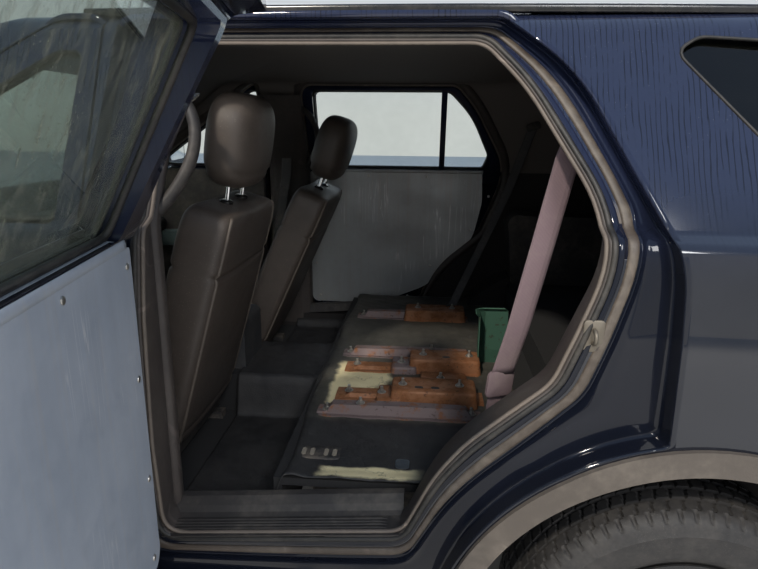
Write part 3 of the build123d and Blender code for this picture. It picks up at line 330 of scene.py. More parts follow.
def brushed_sheet(name, colour, metal, stain):
    f = Finish(name)
    lines = f.noise(1.0, 3, 0.7, stretch=(900, 900, 5))
    broad = f.noise(1.0, 3, 0.6, stretch=(30, 30, 1.6))
    drips = f.noise(1.0, 4, 0.6, stretch=(60, 60, 1.1)).above(0.60, 0.16)
    patches = film(f, 4.0, 0.3, 0.8)
    scored = (scratches(f, (0.9, 0.2, 0.35)) + scratches(f, (0.15, 0.9, 0.1), 3.3) * 0.6).clamped()
    tone = f.mix((broad * 0.8 + lines * 0.25).clamped(), shade(colour, 0.78), colour)
    tone = f.mix(patches * 0.30, tone, stain)
    tone = f.mix(drips * 0.22, tone, shade(stain, 1.35))
    tone = f.mix(scored * 0.55, tone, (0.90, 0.90, 0.90))
    return f.set(Base_Color=tone, Metallic=metal - patches * 0.2,
                 Roughness=0.36 + patches * 0.20 + lines * 0.12 - scored * 0.1,
                 Normal=f.bump(lines, 0.2, 0.0003))


def rusty(name, paint_colour, rust=0.5):
    f = Finish(name)
    spread = f.noise(22, 6, 0.65).above(1 - rust, 0.16)
    grain = f.noise(160, 4, 0.6)
    flakes = f.mix(grain, (0.13, 0.040, 0.014), (0.36, 0.150, 0.055))
    edges = f.noise(60, 3, 0.6).above(0.64, 0.06)
    base = f.mix(spread, paint_colour, flakes)
    base = f.mix(edges * 0.6, base, (0.05, 0.028, 0.018))
    return f.set(Base_Color=base, Roughness=0.55 + spread * 0.3, Metallic=0.25 - spread * 0.25,
                 Normal=f.bump(grain * spread + edges * 0.3, 0.6, 0.0012))


def bare_metal(name, colour, rough, dirt=0.2, metal=1.0):
    f = Finish(name)
    mask = (film(f, 9.0) * dirt).clamped()
    fine = f.noise(300, 3, 0.6)
    return f.set(Base_Color=f.mix(mask, colour, (0.20, 0.16, 0.12)), Metallic=metal - mask,
                 Roughness=rough + fine * 0.1 + mask * 0.4, Normal=f.bump(fine, 0.12, 0.0003))


# painted light: the near panel lighter and bluer for the sky it reflects, the far one darker for shade
guard_near = brushed_sheet("guard_sky_lit", (0.54, 0.60, 0.69), 0.40, (0.40, 0.38, 0.36))
guard_far = brushed_sheet("guard_in_shade", (0.46, 0.48, 0.48), 0.55, (0.30, 0.22, 0.17))
rust_orange = rusty("bracket_rust", (0.34, 0.150, 0.070), 0.50)
rust_mauve = rusty("bracket_primer", (0.20, 0.15, 0.145), 0.42)
green_zinc = rusty("bracket_green", (0.055, 0.135, 0.095), 0.30)
chrome = bare_metal("chrome", (0.80, 0.80, 0.80), 0.08, 0.05)
bolt_steel = bare_metal("bolt_steel", (0.52, 0.50, 0.46), 0.35, 0.3)
striker_metal = bare_metal("striker_metal", (0.20, 0.175, 0.14), 0.45, 0.5, metal=0.7)
cast_metal = bare_metal("cast_metal", (0.22, 0.21, 0.20), 0.5, 0.6)
pipe_metal = bare_metal("pipe_metal", (0.38, 0.35, 0.31), 0.42, 0.6)
chassis_metal = bare_metal("chassis_black", (0.03, 0.03, 0.032), 0.55, 0.7, metal=0.3)
mirror_silver = bare_metal("mirror_silver", (0.85, 0.87, 0.88), 0.03, 0.03)

# %% [markdown]
# Wheels: black pressed steel with a brake disc behind, and rubber that is grey
# rather than black because its surface is always dusty. The dust lies in patches
# with fine grit, so it is a mask on the rubber's own colour.

# %% Tyres and rims
def rubber(name):
    f = Finish(name)
    mask = (film(f, 14, 0.35, 0.75) * 0.22 + 0.04).clamped()
    grit = specks(f, 300.0, 0.14) * 0.5
    fine = f.noise(500, 3, 0.6)
    return f.set(Base_Color=f.mix((mask + grit).clamped(), (0.013, 0.013, 0.014), (0.15, 0.135, 0.12)),
                 Roughness=0.62 + mask * 0.25, Normal=f.bump(fine, 0.25, 0.0004))


tyre_rubber = rubber("tyre_rubber")
rim_black = bare_metal("rim_black", (0.020, 0.020, 0.021), 0.38, 0.5, metal=0.1)

# %% [markdown]
# Glass: a clear body that bends light, with a greenish tint at its edges. The
# open door's pane is dirty, so a dull layer is mixed over it where the film mask
# says, with rain runs, fine scratches and dust specks. The rear side glass of
# such a vehicle is nearly black; since both kinds are in one node, the tint
# changes with the place along the body.

# %% Glass
def glass(name, tint, haze, dark_behind=None, runs=0.0):
    f = Finish(name, Transmission_Weight=1.0, IOR=1.45, Base_Color=(*tint, 1))
    veil = film(f, 3.0, 0.25, 0.85)
    dots = specks(f, 130.0, 0.14)
    wiped = f.noise(1.0, 4, 0.65, turn=(0.25, 0, 0.15), stretch=(70, 70, 2.0)).above(0.58, 0.2)
    mask = (veil * haze + dots * haze * 1.6 + wiped * runs + haze * 0.2).clamped()
    if dark_behind is not None:
        back = f.axis("X").above(dark_behind, 0.01)
        mask = mask * (1 - back * 0.8)
        f.set(Base_Color=f.mix(back, tint, (0.010, 0.014, 0.026)))
    f.set(Roughness=mask * 0.05)
    dull = f.node("ShaderNodeBsdfDiffuse", None, {"Color": (0.30, 0.31, 0.25, 1)})
    blend = f.node("ShaderNodeMixShader", None, {0: mask, 1: Value(f, f.shader.outputs[0]), 2: dull})
    f.tree.links.new(blend.socket, f.tree.nodes["Material Output"].inputs["Surface"])
    return f.material


glass_clear = glass("glass_clear", (0.84, 0.90, 0.88), 0.06)
glass_fixed = glass("glass_fixed", (0.84, 0.90, 0.88), 0.06, dark_behind=1.0)
glass_dirty = glass("glass_dirty", (0.54, 0.63, 0.57), 0.22, runs=0.30)
glass_dark = glass("glass_dark", (0.035, 0.04, 0.045), 0.06)


# %% [markdown]
# A lamp that is closed and unlit shows its reflector through a clear lens. Here
# the lens is the clear coat, and the bowls behind it are painted reflections: rings
# of bright and dark in the colour, worked out from the distance to each bowl's
# middle.

# %% Lamps
def bowls(f, middles, scale):
    """Painted reflections: bright rings round middles given as x, y (either side) and z."""
    side = f.axis("Y").size()
    total = None
    for x, y, z in middles:
        dx, dy, dz = f.axis("X") - x, side - y, f.axis("Z") - z
        away = (dx * dx * 0.15 + dy * dy + dz * dz) ** 0.5
        ring = f.node("ShaderNodeMath", {"operation": "SINE"}, {0: away * scale}) * 0.5 + 0.5
        disc = 1 - away.above(0.075, 0.008)
        both = ring * disc * away.above(0.020, 0.006)
        total = both if total is None else total.most(both)
    return total


def head_lens():
    f = Finish("headlamp_lens", Coat_Roughness=0.02, Coat_IOR=1.5)
    rings = bowls(f, ((-2.20, 0.830, 0.885), (-2.28, 0.660, 0.875)), 95.0)
    flutes = f.bands(30.0, "Z")
    # painted reflection: the reflector bowls' bright and dark rings
    tone = f.mix(rings, (0.045, 0.047, 0.05), (0.42, 0.43, 0.45))
    tone = f.mix(flutes * 0.2, tone, (0.45, 0.46, 0.47))
    return f.set(Base_Color=tone, Metallic=0.35 + rings * 0.6, Roughness=0.22 - rings * 0.12,
                 Coat_Weight=1 - f.noise(30, 2, 0.5) * 0.1, Normal=f.bump(rings, 0.5, 0.004))


def tail_lens():
    f = Finish("tail_lens", Coat_Roughness=0.03)
    ribs = f.bands(45.0, "Z")
    middle = (1 - (f.axis("Z") - 1.03).size().above(0.042, 0.004)) * f.axis("Y").size().above(0.78, 0.004)
    red = f.mix(ribs, (0.22, 0.005, 0.006), (0.42, 0.010, 0.012))
    clear = f.mix(ribs, (0.42, 0.42, 0.42), (0.70, 0.70, 0.70))
    return f.set(Base_Color=f.mix(middle, red, clear), Roughness=0.12 + ribs * 0.08,
                 Coat_Weight=1 - f.noise(30, 2, 0.5) * 0.1, Normal=f.bump(ribs, 0.3, 0.002))


lamp_head, lamp_tail = head_lens(), tail_lens()

# %% [markdown]
# The floor behind the front seats is black vinyl, dusty, with a fine pebble and
# soft creases. Round the old seat's brackets the dust lies thicker; between them
# and along the sill the pale warm patches are painted sunlight. The seat leather
# is dark brown-grey: a cell pattern at about a millimetre gives its pores and a
# larger one its folds. The belts are woven, so their pattern follows the strap's
# own UV map.

# %% Floor, leather, webbing and carpet
def matting(name):
    f = Finish(name)
    x, y, z = f.axis("X"), f.axis("Y"), f.axis("Z")
    ragged = f.noise(18, 4, 0.6) * 0.05 - 0.025
    # painted sunlight between the brackets and by the sill, and thicker dust round them
    sunlit_patch = ((x + ragged).above(0.575, 0.02) * (1 - (x + ragged).above(0.760, 0.03))
             * (y + ragged).above(-0.405, 0.02) * (1 - (y + ragged).above(-0.075, 0.03)))
    bay = (x + ragged).above(0.53, 0.05) * (y + ragged).above(-0.50, 0.03) * z.above(0.60, 0.02)
    sunlit_sill = ((x + ragged).above(0.625, 0.03) * (1 - (x + ragged).above(0.86, 0.06))
            * (1 - (y + ragged * 0.5).above(-0.742, 0.012)) * (y + ragged * 0.5).above(-0.792, 0.012))
    mask = (film(f, 4.0, 0.3, 0.8) * 0.34).clamped()
    pebble = f.cells(260)
    creases = f.noise(7, 3, 0.6, stretch=(1, 2.2, 1))
    cracks = 1 - ((f.noise(9, 4, 0.7) - 0.5).size() * 60).clamped()
    cracks = cracks * f.noise(2.5, 2, 0.5).above(0.56, 0.1)
    tone = f.mix(mask, (0.013, 0.013, 0.0145), (0.10, 0.092, 0.085))
    tone = f.mix(bay * film(f, 6.0, 0.2, 0.7) * 0.35, tone, (0.20, 0.185, 0.14))
    # painted sunlight: pale warm pools on the platform and along the sill
    tone = f.mix((sunlit_patch + sunlit_sill).clamped() * 0.9, tone, (0.86, 0.74, 0.44))
    tone = f.mix(cracks * 0.5, tone, (0.008, 0.008, 0.008))
    return f.set(Base_Color=tone, Roughness=0.58 + mask * 0.3,
                 Normal=f.bump(pebble * 0.25 + creases - cracks * 0.4, 0.5, 0.004))


def leather(name, colour):
    f = Finish(name)
    pores = f.cells(520, "DISTANCE_TO_EDGE").above(0.08, 0.16)
    folds = f.noise(30, 4, 0.55)
    worn = f.noise(5, 4, 0.6).above(0.54, 0.25)
    creases = 1 - ((f.noise(14, 4, 0.6, stretch=(1, 1, 0.5)) - 0.5).size() * 30).clamped()
    creases = creases * f.noise(4, 2, 0.5).above(0.55, 0.12)
    dots = specks(f, 160.0, 0.12)
    tone = f.mix(folds, shade(colour, 0.78), shade(colour, 1.22))
    tone = f.mix(worn * 0.20, tone, (0.090, 0.074, 0.060))
    tone = f.mix(dots * 0.4, tone, dust_colour)
    return f.set(Base_Color=tone, Roughness=0.42 + worn * 0.12 + (1 - pores) * 0.12,
                 Normal=f.bump(pores * 0.35 + folds - creases * 0.6, 0.30, 0.0014))


def webbing(name, colour):
    f = Finish(name)
    along = f.node("ShaderNodeUVMap", {"uv_map": "UVMap"})
    across, length = f.axis("X", along), f.axis("Y", along)
    ribs = f.node("ShaderNodeMath", {"operation": "SINE"}, {0: across * 1900}) * 0.5 + 0.5
    weft = f.node("ShaderNodeMath", {"operation": "SINE"}, {0: length * 3600 + ribs * 2}) * 0.5 + 0.5
    selvedge = (across - 0.024).size().above(0.0195, 0.001)
    tone = f.mix(ribs * 0.6 + weft * 0.3, shade(colour, 0.70), shade(colour, 1.12))
    tone = f.mix(selvedge * 0.5, tone, shade(colour, 0.55))
    return f.set(Base_Color=f.mix(film(f, 9.0) * 0.2, tone, dust_colour), Roughness=0.76 + ribs * 0.1,
                 Normal=f.bump(ribs * 0.7 + weft * 0.4, 0.5, 0.0006))


def felt(name, colour):
    f = Finish(name)
    fibre = f.noise(900, 3, 0.7)
    broad = f.noise(6, 3, 0.5)
    tone = f.mix(fibre, shade(colour, 0.7), shade(colour, 1.25))
    return f.set(Base_Color=f.mix(broad * 0.3, tone, shade(colour, 0.8)),
                 Roughness=0.9 + fibre * 0.08, Normal=f.bump(fibre, 0.5, 0.0006))


floor_matting = matting("floor_matting")
seat_leather = leather("seat_leather", (0.062, 0.049, 0.041))
piping_leather = leather("piping_leather", (0.105, 0.086, 0.070))
wheel_leather = leather("wheel_leather", (0.030, 0.028, 0.027))
belt_dark = webbing("belt_dark", (0.085, 0.082, 0.083))
belt_mauve = webbing("belt_mauve", (0.235, 0.165, 0.180))
carpet = felt("carpet", (0.018, 0.0175, 0.018))
print("materials", len(bpy.data.materials))

# %% [markdown]
# Now the solids get their finishes. A node keeps its mesh: only the material in
# its slots changes. The shell is one piece outside and in, so its finish has to
# tell paint from lining by place: inside the room's outline it is cloth and
# trim, outside it is paint.

# %% Shell finish
belt_line = 1.272
room_side = 0.853                       # half width of the room below the belt line
room_lean = 0.213 / 0.380               # how far its wall leans in per metre above it
lining_side, lining_front = 0.8565, -0.873
room_edges = ((-0.640, 1.0, 1.6836), (-0.135, 1.0, 1.6620), (0.0111, 1.0, 1.7217), (0.0707, 1.0, 1.8120),
              (1.0, 0.3417, 2.8060), (1.0, 0.0, 2.4520))   # x and z factors, edge of the room they bound


def shell_finish(name):
    """Paint outside, lining inside: the room's half width is known at every height."""
    f = Finish(name, Coat_Roughness=0.02, Coat_IOR=1.5, Specular_IOR_Level=0.3)
    x, y, z = f.axis("X"), f.axis("Y"), f.axis("Z")
    lean = ((z - belt_line) * room_lean).most(0.0)
    beyond_side = (y.size() + lean).above(lining_side, 0.002)
    outside = beyond_side.most(1 - x.above(lining_front, 0.002))
    for slant, rise, edge in room_edges:
        outside = outside.most((x * slant + z * rise).above(edge, 0.002))
    lining = f.mix(f.noise(900, 3, 0.7), (0.095, 0.083, 0.075), (0.172, 0.152, 0.136))
    cabin = f.mix(z.above(1.262, 0.002), (0.028, 0.025, 0.024), lining)
    colour, rough, coat, normal = paint_layers(f, 0.8)
    return f.set(Base_Color=f.mix(outside, cabin, colour), Roughness=outside * rough + (1 - outside) * 0.85,
                 Coat_Weight=outside * coat, Normal=normal)


shell_paint = shell_finish("shell_paint")

# %% Finishes by node
finish_of = {
    "body_shell": shell_paint, "front_fenders": body_paint, "bonnet": body_paint,
    "front_bumper": body_paint, "rear_bumper": body_paint, "tailgate": body_paint,
    "grille": trim_dark, "headlamps": lamp_head, "tail_lamps": lamp_tail,
    "fixed_glass": glass_fixed, "tailgate_glass": glass_dark,
    "front_glass_left": glass_clear, "front_glass_right": glass_clear,
    "rear_glass_left": glass_dirty, "rear_glass_right": glass_clear,
    "front_door_left": body_paint, "front_door_right": body_paint,
    "rear_door_left": jamb_paint, "rear_door_right": jamb_paint,
    "security_panel_left": guard_near, "security_panel_right": guard_far,
    "mirror_left": body_paint, "mirror_right": body_paint, "dashboard": dash_plastic,
    "steering_wheel": wheel_leather, "floor_pan": carpet, "seat_brackets": rust_orange,
    "pillar_trim": trim_dark, "engine": cast_metal, "fuel_tank": tank_plastic,
    "exhaust": pipe_metal, "arch_cladding": cladding_plastic, "front_subframe": chassis_metal,
    "rear_axle": chassis_metal, "knuckle_front_left": cast_metal, "knuckle_front_right": cast_metal,
    "front_seats": seat_leather, "rear_belts": belt_dark}
for place in ("front_left", "front_right", "rear_left", "rear_right"):
    finish_of["tyre_" + place] = tyre_rubber
    finish_of["rim_" + place] = rim_black
for name, material in finish_of.items():
    nodes[name].data.materials.clear()
    nodes[name].data.materials.append(material)
print("finished", len(finish_of), "of", len(nodes), "left", sorted(set(nodes) - set(finish_of)))

# %% [markdown]
# New pieces are made from arrays. A surface is a grid of points, rows by columns,
# and `quads` joins neighbours; where a direction closes on itself the last row
# meets the first. `made` welds what coincides and turns every face outwards.

# %% Mesh helpers
sides = ((-1, "left"), (1, "right"))     # sign of y, word in the names


def made(name, points, faces, material, body, smooth=True, uv=None, weld=True):
    """One object at the origin, its place in its mesh, riding on a body."""
    mesh = bpy.data.meshes.new(name)
    mesh.from_pydata(np.asarray(points, float).reshape(-1, 3).tolist(), [], [list(f) for f in faces])
    if uv is not None:
        loops = np.empty(len(mesh.loops), np.int64)
        mesh.loops.foreach_get("vertex_index", loops)
        layer = mesh.uv_layers.new(name="UVMap")
        layer.data.foreach_set("uv", np.asarray(uv, np.float64)[loops].ravel())
    work = bmesh.new()
    work.from_mesh(mesh)
    if weld:
        bmesh.ops.remove_doubles(work, verts=work.verts, dist=1e-5)
    bmesh.ops.recalc_face_normals(work, faces=work.faces)
    work.to_mesh(mesh)
    work.free()
    mesh.polygons.foreach_set("use_smooth", np.full(len(mesh.polygons), smooth))
    mesh.materials.append(material)
    obj = bpy.data.objects.new(name, mesh)
    bpy.context.scene.collection.objects.link(obj)
    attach(obj, body)
    return obj


def quads(rows, columns, close_rows=False, close_columns=False, start=0):
    """Quads between neighbours of a rows by columns grid."""
    r = np.arange(rows if close_rows else rows - 1)
    c = np.arange(columns if close_columns else columns - 1)
    r, c = np.meshgrid(r, c, indexing="ij")
    r2, c2 = (r + 1) % rows, (c + 1) % columns
    grid = np.stack([r * columns + c, r * columns + c2, r2 * columns + c2, r2 * columns + c], -1)
    return grid.reshape(-1, 4) + start


def lofted(name, grid, material, body, closed=False, caps=True, smooth=True, crease=35):
    """A grid of points as a skin: columns close on themselves, rows end in caps or meet."""
    grid = np.asarray(grid, float)
    rows, columns = grid.shape[:2]
    faces = quads(rows, columns, closed, True).tolist()
    if caps and not closed:
        faces += [list(range(columns)), list(range((rows - 1) * columns, rows * columns))]
    return sharpened(made(name, grid, faces, material, body, smooth), crease)


def sharpened(obj, degrees):
    """Edges that turn more than this stay sharp when the faces are smooth."""
    if degrees:
        mesh = obj.data
        work = bmesh.new()
        work.from_mesh(mesh)
        for edge in work.edges:
            edge.smooth = len(edge.link_faces) < 2 or edge.calc_face_angle(0.0) < math.radians(degrees)
        work.to_mesh(mesh)
        work.free()
    return obj


def layer(name, grid, thick, material, body, closed=False, smooth=True):
    """An open skin given a thickness, so that it is a closed sheet."""
    grid = np.asarray(grid, float)
    rows, columns = grid.shape[:2]
    obj = made(name, grid, quads(rows, columns, closed), material, body, smooth, weld=False)
    solid = obj.modifiers.new("thickness", "SOLIDIFY")
    solid.thickness = thick
    solid.offset = 0
    return obj


def rounded(corners, steps=8):
    """Closed path through x, z, radius corners, each turned by an arc of points."""
    corners = np.asarray(corners, float)
    path = []
    for i in range(len(corners)):
        a, b, c = corners[i - 1, :2], corners[i, :2], corners[(i + 1) % len(corners), :2]
        back, ahead = (a - b) / np.linalg.norm(a - b), (c - b) / np.linalg.norm(c - b)
        turn = math.acos(np.clip(-back @ ahead, -1, 1))
        run = min(corners[i, 2] * math.tan(turn / 2), 0.47 * np.linalg.norm(a - b),
                  0.47 * np.linalg.norm(c - b))
        t = np.linspace(0, 1, steps)[:, None] if run > 1e-6 else np.zeros((1, 1))
        path.append((1 - t) ** 2 * (b + back * run) + 2 * t * (1 - t) * b + t ** 2 * (b + ahead * run))
    return np.concatenate(path)


def drawn_in(ring, size, middle=None):
    """The same outline, shrunk towards its middle."""
    middle = ring.mean(0) if middle is None else middle
    return middle + (ring - middle) * size


def spaced(path, step, closed=True):
    """The same path with points every step metres."""
    path = np.asarray(path, float)
    if closed:
        path = np.vstack([path, path[:1]])
    run = np.r_[0, np.cumsum(np.linalg.norm(np.diff(path, axis=0), axis=1))]
    count = max(4, int(run[-1] / step))
    at = np.linspace(0, run[-1], count + 1)[:-1] if closed else np.linspace(0, run[-1], count + 1)
    return np.stack([np.interp(at, run, path[:, k]) for k in range(path.shape[1])], -1)


def smoothed(points, step=0.01, degree=3):
    """An open curve through control points: a clamped uniform B-spline."""
    points = np.asarray(points, float)
    n = len(points)
    knots = np.r_[np.zeros(degree), np.linspace(0, 1, n - degree + 1), np.ones(degree)]
    length = np.linalg.norm(np.diff(points, axis=0), axis=1).sum()
    t = np.linspace(0, 1 - 1e-9, max(8, int(length / step)))
    basis = ((t[:, None] >= knots[:-1]) & (t[:, None] < knots[1:])).astype(float)
    for d in range(1, degree + 1):
        left = (knots[d:-1] - knots[:-d - 1])
        right = (knots[d + 1:] - knots[1:-d])
        a = np.where(left > 0, (t[:, None] - knots[:-d - 1]) / np.where(left > 0, left, 1), 0)
        b = np.where(right > 0, (knots[d + 1:] - t[:, None]) / np.where(right > 0, right, 1), 0)
        basis = a * basis[:, :-1] + b * basis[:, 1:]
    return basis @ points


def swept(name, path, profile, material, body, closed=True, up=(0, 1, 0), crease=0):
    """A closed profile of side, up pairs carried along a path; open ends are capped."""
    path = np.asarray(path, float)
    ahead = np.roll(path, -1, 0) - np.roll(path, 1, 0) if closed else np.gradient(path, axis=0)
    ahead /= np.linalg.norm(ahead, axis=1)[:, None]
    side = np.cross(ahead, np.broadcast_to(np.asarray(up, float), path.shape))
    side /= np.linalg.norm(side, axis=1)[:, None]
    top = np.cross(side, ahead)
    profile = np.asarray(profile, float)
    grid = path[:, None, :] + side[:, None, :] * profile[None, :, :1] + top[:, None, :] * profile[None, :, 1:]
    return lofted(name, grid, material, body, closed, crease=crease)


def ring_profile(radius, count=12, squeeze=1.0):
    """Circle of side, up pairs, flattened by squeeze."""
    a = np.linspace(0, 2 * math.pi, count, endpoint=False)
    return np.stack([radius * np.cos(a), radius * squeeze * np.sin(a)], -1)


def turned(name, at, profile, material, body, axis=(0, 0, 1), count=20):
    """A round piece: radius and height pairs spun round an axis through a point."""
    axis = np.asarray(axis, float) / np.linalg.norm(axis)
    first = np.cross(axis, (0.3, 0.8, 0.52))
    first /= np.linalg.norm(first)
    second = np.cross(axis, first)
    a = np.linspace(0, 2 * math.pi, count, endpoint=False)
    around = np.cos(a)[:, None] * first + np.sin(a)[:, None] * second
    profile = np.asarray(profile, float)
    grid = np.asarray(at) + profile[:, 0, None, None] * around + profile[:, 1, None, None] * axis
    return lofted(name, grid, material, body)


def joined(name, parts):
    """One object from several of the same body, with their materials."""
    bpy.ops.object.select_all(action="DESELECT")
    for part in parts:
        part.select_set(True)
    bpy.context.view_layer.objects.active = parts[0]
    bpy.ops.object.join()
    parts[0].name = name
    return parts[0]


# %% [markdown]
# The body's side is known at every height: the skin's half width comes from the
# same section table as the solids, and the room's wall is straight up to the belt
# line, then leans in. A door's step lies a fixed depth inside the skin.

# %% The body's side
axle_x, axle_y, axle_z = 1.4325, 0.851, 0.363
step_low, step_high = 0.052, 0.058      # depth of the step below and above the belt line
skin_section = np.array([               # height, half width
    (0.33, 0.906), (0.425, 0.9398), (0.48, 0.9586), (0.55, 0.9666), (0.62, 0.9731), (0.70, 0.9806),
    (0.80, 0.989), (0.90, 0.9857), (1.0, 0.9814), (1.08, 0.9768), (1.15, 0.9653), (1.2, 0.9562),
    (1.24, 0.949), (1.262, 0.9405), (1.272, 0.9255), (1.281, 0.9095), (1.3, 0.8983), (1.4, 0.8475),
    (1.5, 0.7967), (1.6, 0.7458), (1.64, 0.7255), (1.68, 0.6978)])
arch_middle, arch_radius = np.array([axle_x, axle_z]), 0.526


def skin_half(z):
    """Half width of the painted skin at a height."""
    return np.interp(z, skin_section[:, 0], skin_section[:, 1])


def room_half(z):
    """Half width of the room at a height: straight up to the belt line, then leaning in."""
    return room_side - np.clip((z - belt_line) * room_lean, 0, None)


def step_half(z):
    """Half width at the bottom of the step that a closed door's rim lies over."""
    return skin_half(z) - np.where(z < belt_line, step_low, step_high)


def around(path, middle, angles, arch=False):
    """A star-shaped outline measured from a middle: its point at each angle."""
    path = spaced(path, 0.003)
    away = path - middle
    turn = np.arctan2(away[:, 1], away[:, 0])
    order = np.argsort(turn)
    far = np.interp(angles, turn[order], np.hypot(*away[order].T), period=2 * math.pi)
    ray = np.stack([np.cos(angles), np.sin(angles)], -1)
    if arch:
        towards = arch_middle - middle
        along = ray @ towards
        inside = along ** 2 - (towards @ towards - arch_radius ** 2)
        meets = np.where((inside > 0) & (along > 0), along - np.sqrt(np.clip(inside, 0, None)), 9.0)
        far = np.minimum(far, meets)
    return middle + ray * far[:, None]


# %% [markdown]
# Between a doorway's outer edge and its inner one runs a pressed and painted
# channel with folds, then the flange with its bulb seal, then the cabin's trim.
# Both edges are outlines measured from the same middle, so a layer is a share of
# the way from one to the other and a rise above the step.

# %% Doorway outlines
doorways = {                            # outlines of x, z, corner radius, measured from a middle
    "front": {"middle": (-0.25, 0.95),
              "inner": [(-0.690, 0.553, 0.06), (0.098, 0.553, 0.06), (0.098, 1.652, 0.04),
                        (0.078, 1.652, 0.06), (-0.712, 1.150, 0.06)],
              "outer": [(-0.776, 0.419, 0.04), (0.170, 0.419, 0.04), (0.170, 1.272, 0.0),
                        (0.156, 1.692, 0.05), (0.042, 1.692, 0.10), (-0.776, 1.170, 0.10)]},
    "rear": {"middle": (0.75, 1.10),
             "inner": [(0.283, 0.553, 0.055), (0.838, 0.598, 0.06), (0.925, 0.795, 0.6), (1.135, 0.975, 0.12),
                       (1.250, 1.272, 0.26), (1.075, 1.560, 0.5), (0.985, 1.652, 0.07), (0.287, 1.652, 0.06)],
             "outer": [(0.170, 0.419, 0.04), (1.344, 0.419, 0.0), (1.344, 1.237, 0.266),
                       (1.162, 1.583, 0.7), (1.018, 1.692, 0.05), (0.184, 1.692, 0.05), (0.170, 1.272, 0.0)]}}

# %% Sections of the doorway's layers
channel_reach = 0.062                   # the folded part's width where the step has room for it
channel = np.array([                    # metres from the inner edge, share of the rest, rise above the step
    (0.000, 0.0, -0.004), (0.006, 0.0, 0.0010), (0.012, 0.0, 0.0010), (0.014, 0.0, 0.0036),
    (0.016, 0.0, 0.0046), (0.024, 0.0, 0.0048), (0.026, 0.0, 0.0036), (0.028, 0.0, -0.0012),
    (0.034, 0.0, -0.0015), (0.055, 0.0, -0.0012), (0.058, 0.0, 0.0045), (0.061, 0.0, 0.0042),
    (0.062, 0.0, 0.0010), (0.062, 0.25, 0.0036), (0.062, 0.5, 0.0048), (0.062, 0.75, 0.0040),
    (0.062, 0.90, 0.0012), (0.062, 0.965, 0.0020), (0.062, 0.978, 0.012), (0.062, 0.984, 0.030),
    (0.062, 0.990, 0.049)])
band = np.array([                       # dusty rubber strip: metres from the inner edge, rise
    (0.033, -0.002), (0.034, 0.002), (0.037, 0.0044), (0.043, 0.0052), (0.050, 0.0048), (0.054, 0.0025),
    (0.055, -0.002)])
lip = np.array([                        # metres beyond the outer edge, rise above the step
    (-0.0018, 0.044), (-0.0022, 0.0505), (0.0008, 0.0530), (0.0085, 0.0532), (0.0125, 0.0505)])
trim_wall = np.array([                  # inset from the inner edge, share of the way in, metres beyond
    (-0.003, 0.0, -0.0035), (0.0015, 0.0, -0.0042), (0.0040, 0.0, -0.0015), (0.0050, 0.10, 0.0),
    (0.0052, 0.50, 0.002), (0.0050, 1.0, 0.004), (0.002, 1.0, 0.0085), (-0.012, 1.0, 0.011),
    (-0.030, 1.0, 0.004)])
scuff_below, scuff_share = 0.605, 0.9   # where the scuff plate lies the trim is this much thinner
lip_from, lip_to = 0.190, 0.150         # the lip stops short of the pillar between the doors


# %% One doorway's layers
turns = 400
angles = np.arange(turns) * 2 * math.pi / turns


def doorway_layers(opening, inner, outer, middle, side, word):
    """Channel, its band, the skin's edge, the cabin's trim, the bulb seal and its lip."""
    def placed(flat, half):
        """x, z points with their half width: points on this side of the body."""
        return np.stack([flat[..., 0], side * half, flat[..., 1]], -1)

    def ring(kind, flat, half, profile, material):
        """One closed skin of the doorway, all round."""
        made("%s_%s_%s" % (kind, opening, word), placed(flat, half), quads(turns, len(profile), True),
             material, "body", weld=False)

    def bulb(kind, flat, rise, profile, material):
        """A round rubber carried all round the opening."""
        swept("%s_%s_%s" % (kind, opening, word), placed(flat, step_half(flat[:, 1]) + rise), profile,
              material, "body")

    across = outer - inner
    length = np.linalg.norm(across, axis=1)[:, None]
    outward = across / length
    from_middle = (inner - middle) / np.linalg.norm(inner - middle, axis=1)[:, None]
    squeeze = np.minimum(1, length / (channel_reach * 1.35))

    away = channel[:, 0] * squeeze + channel[:, 1] * (length - channel_reach * squeeze)
    flat = inner[:, None] + outward[:, None] * away[..., None]
    ring("channel", flat, step_half(flat[..., 1]) + channel[:, 2], channel, jamb_paint)
    flat = inner[:, None] + outward[:, None] * (band[None, :, 0] * squeeze)[..., None]
    ring("channel_band", flat, step_half(flat[..., 1]) + band[:, 1], band, seal_dusty)

    keep = outer[:, 0] > lip_from if opening == "rear" else outer[:, 0] < lip_to
    flat = outer[:, None] + outward[:, None] * lip[None, :, :1]
    half = skin_half(flat[..., 1]) - step_low + lip[:, 1]
    faces = quads(turns, len(lip), True).reshape(turns, len(lip) - 1, 4)
    faces = faces[keep & np.roll(keep, -1)].reshape(-1, 4)
    made("edge_%s_%s" % (opening, word), placed(flat, half), faces, body_paint, "body", weld=False)

    sill = (inner[:, 1] < scuff_below)[:, None, None] * scuff_share
    flat = inner[:, None] - from_middle[:, None] * trim_wall[None, :, :1] * (1 - sill)
    outside, inside = step_half(flat[..., 1]), room_half(flat[..., 1])
    half = outside - trim_wall[:, 1] * (outside - inside) - trim_wall[:, 2]
    layer("door_trim_%s_%s" % (opening, word), placed(flat, half), 0.002, trim_brown, "body", closed=True)

    bulb("seal", inner + outward * 0.006, 0.0035, ring_profile(0.0068, 12, 1.0), seal_rubber)
    bulb("seal_lip", inner - from_middle * 0.0085, -0.004, ring_profile(0.0042, 10, 1.3), seal_brown)


for opening, ways in doorways.items():
    middle = np.array(ways["middle"])
    inner = around(rounded(ways["inner"], 10), middle, angles)
    outer = around(rounded(ways["outer"], 10), middle, angles, arch=opening == "rear")
    for side, word in sides:
        doorway_layers(opening, inner, outer, middle, side, word)
print("doorway layers", 6 * len(sides) * len(doorways))

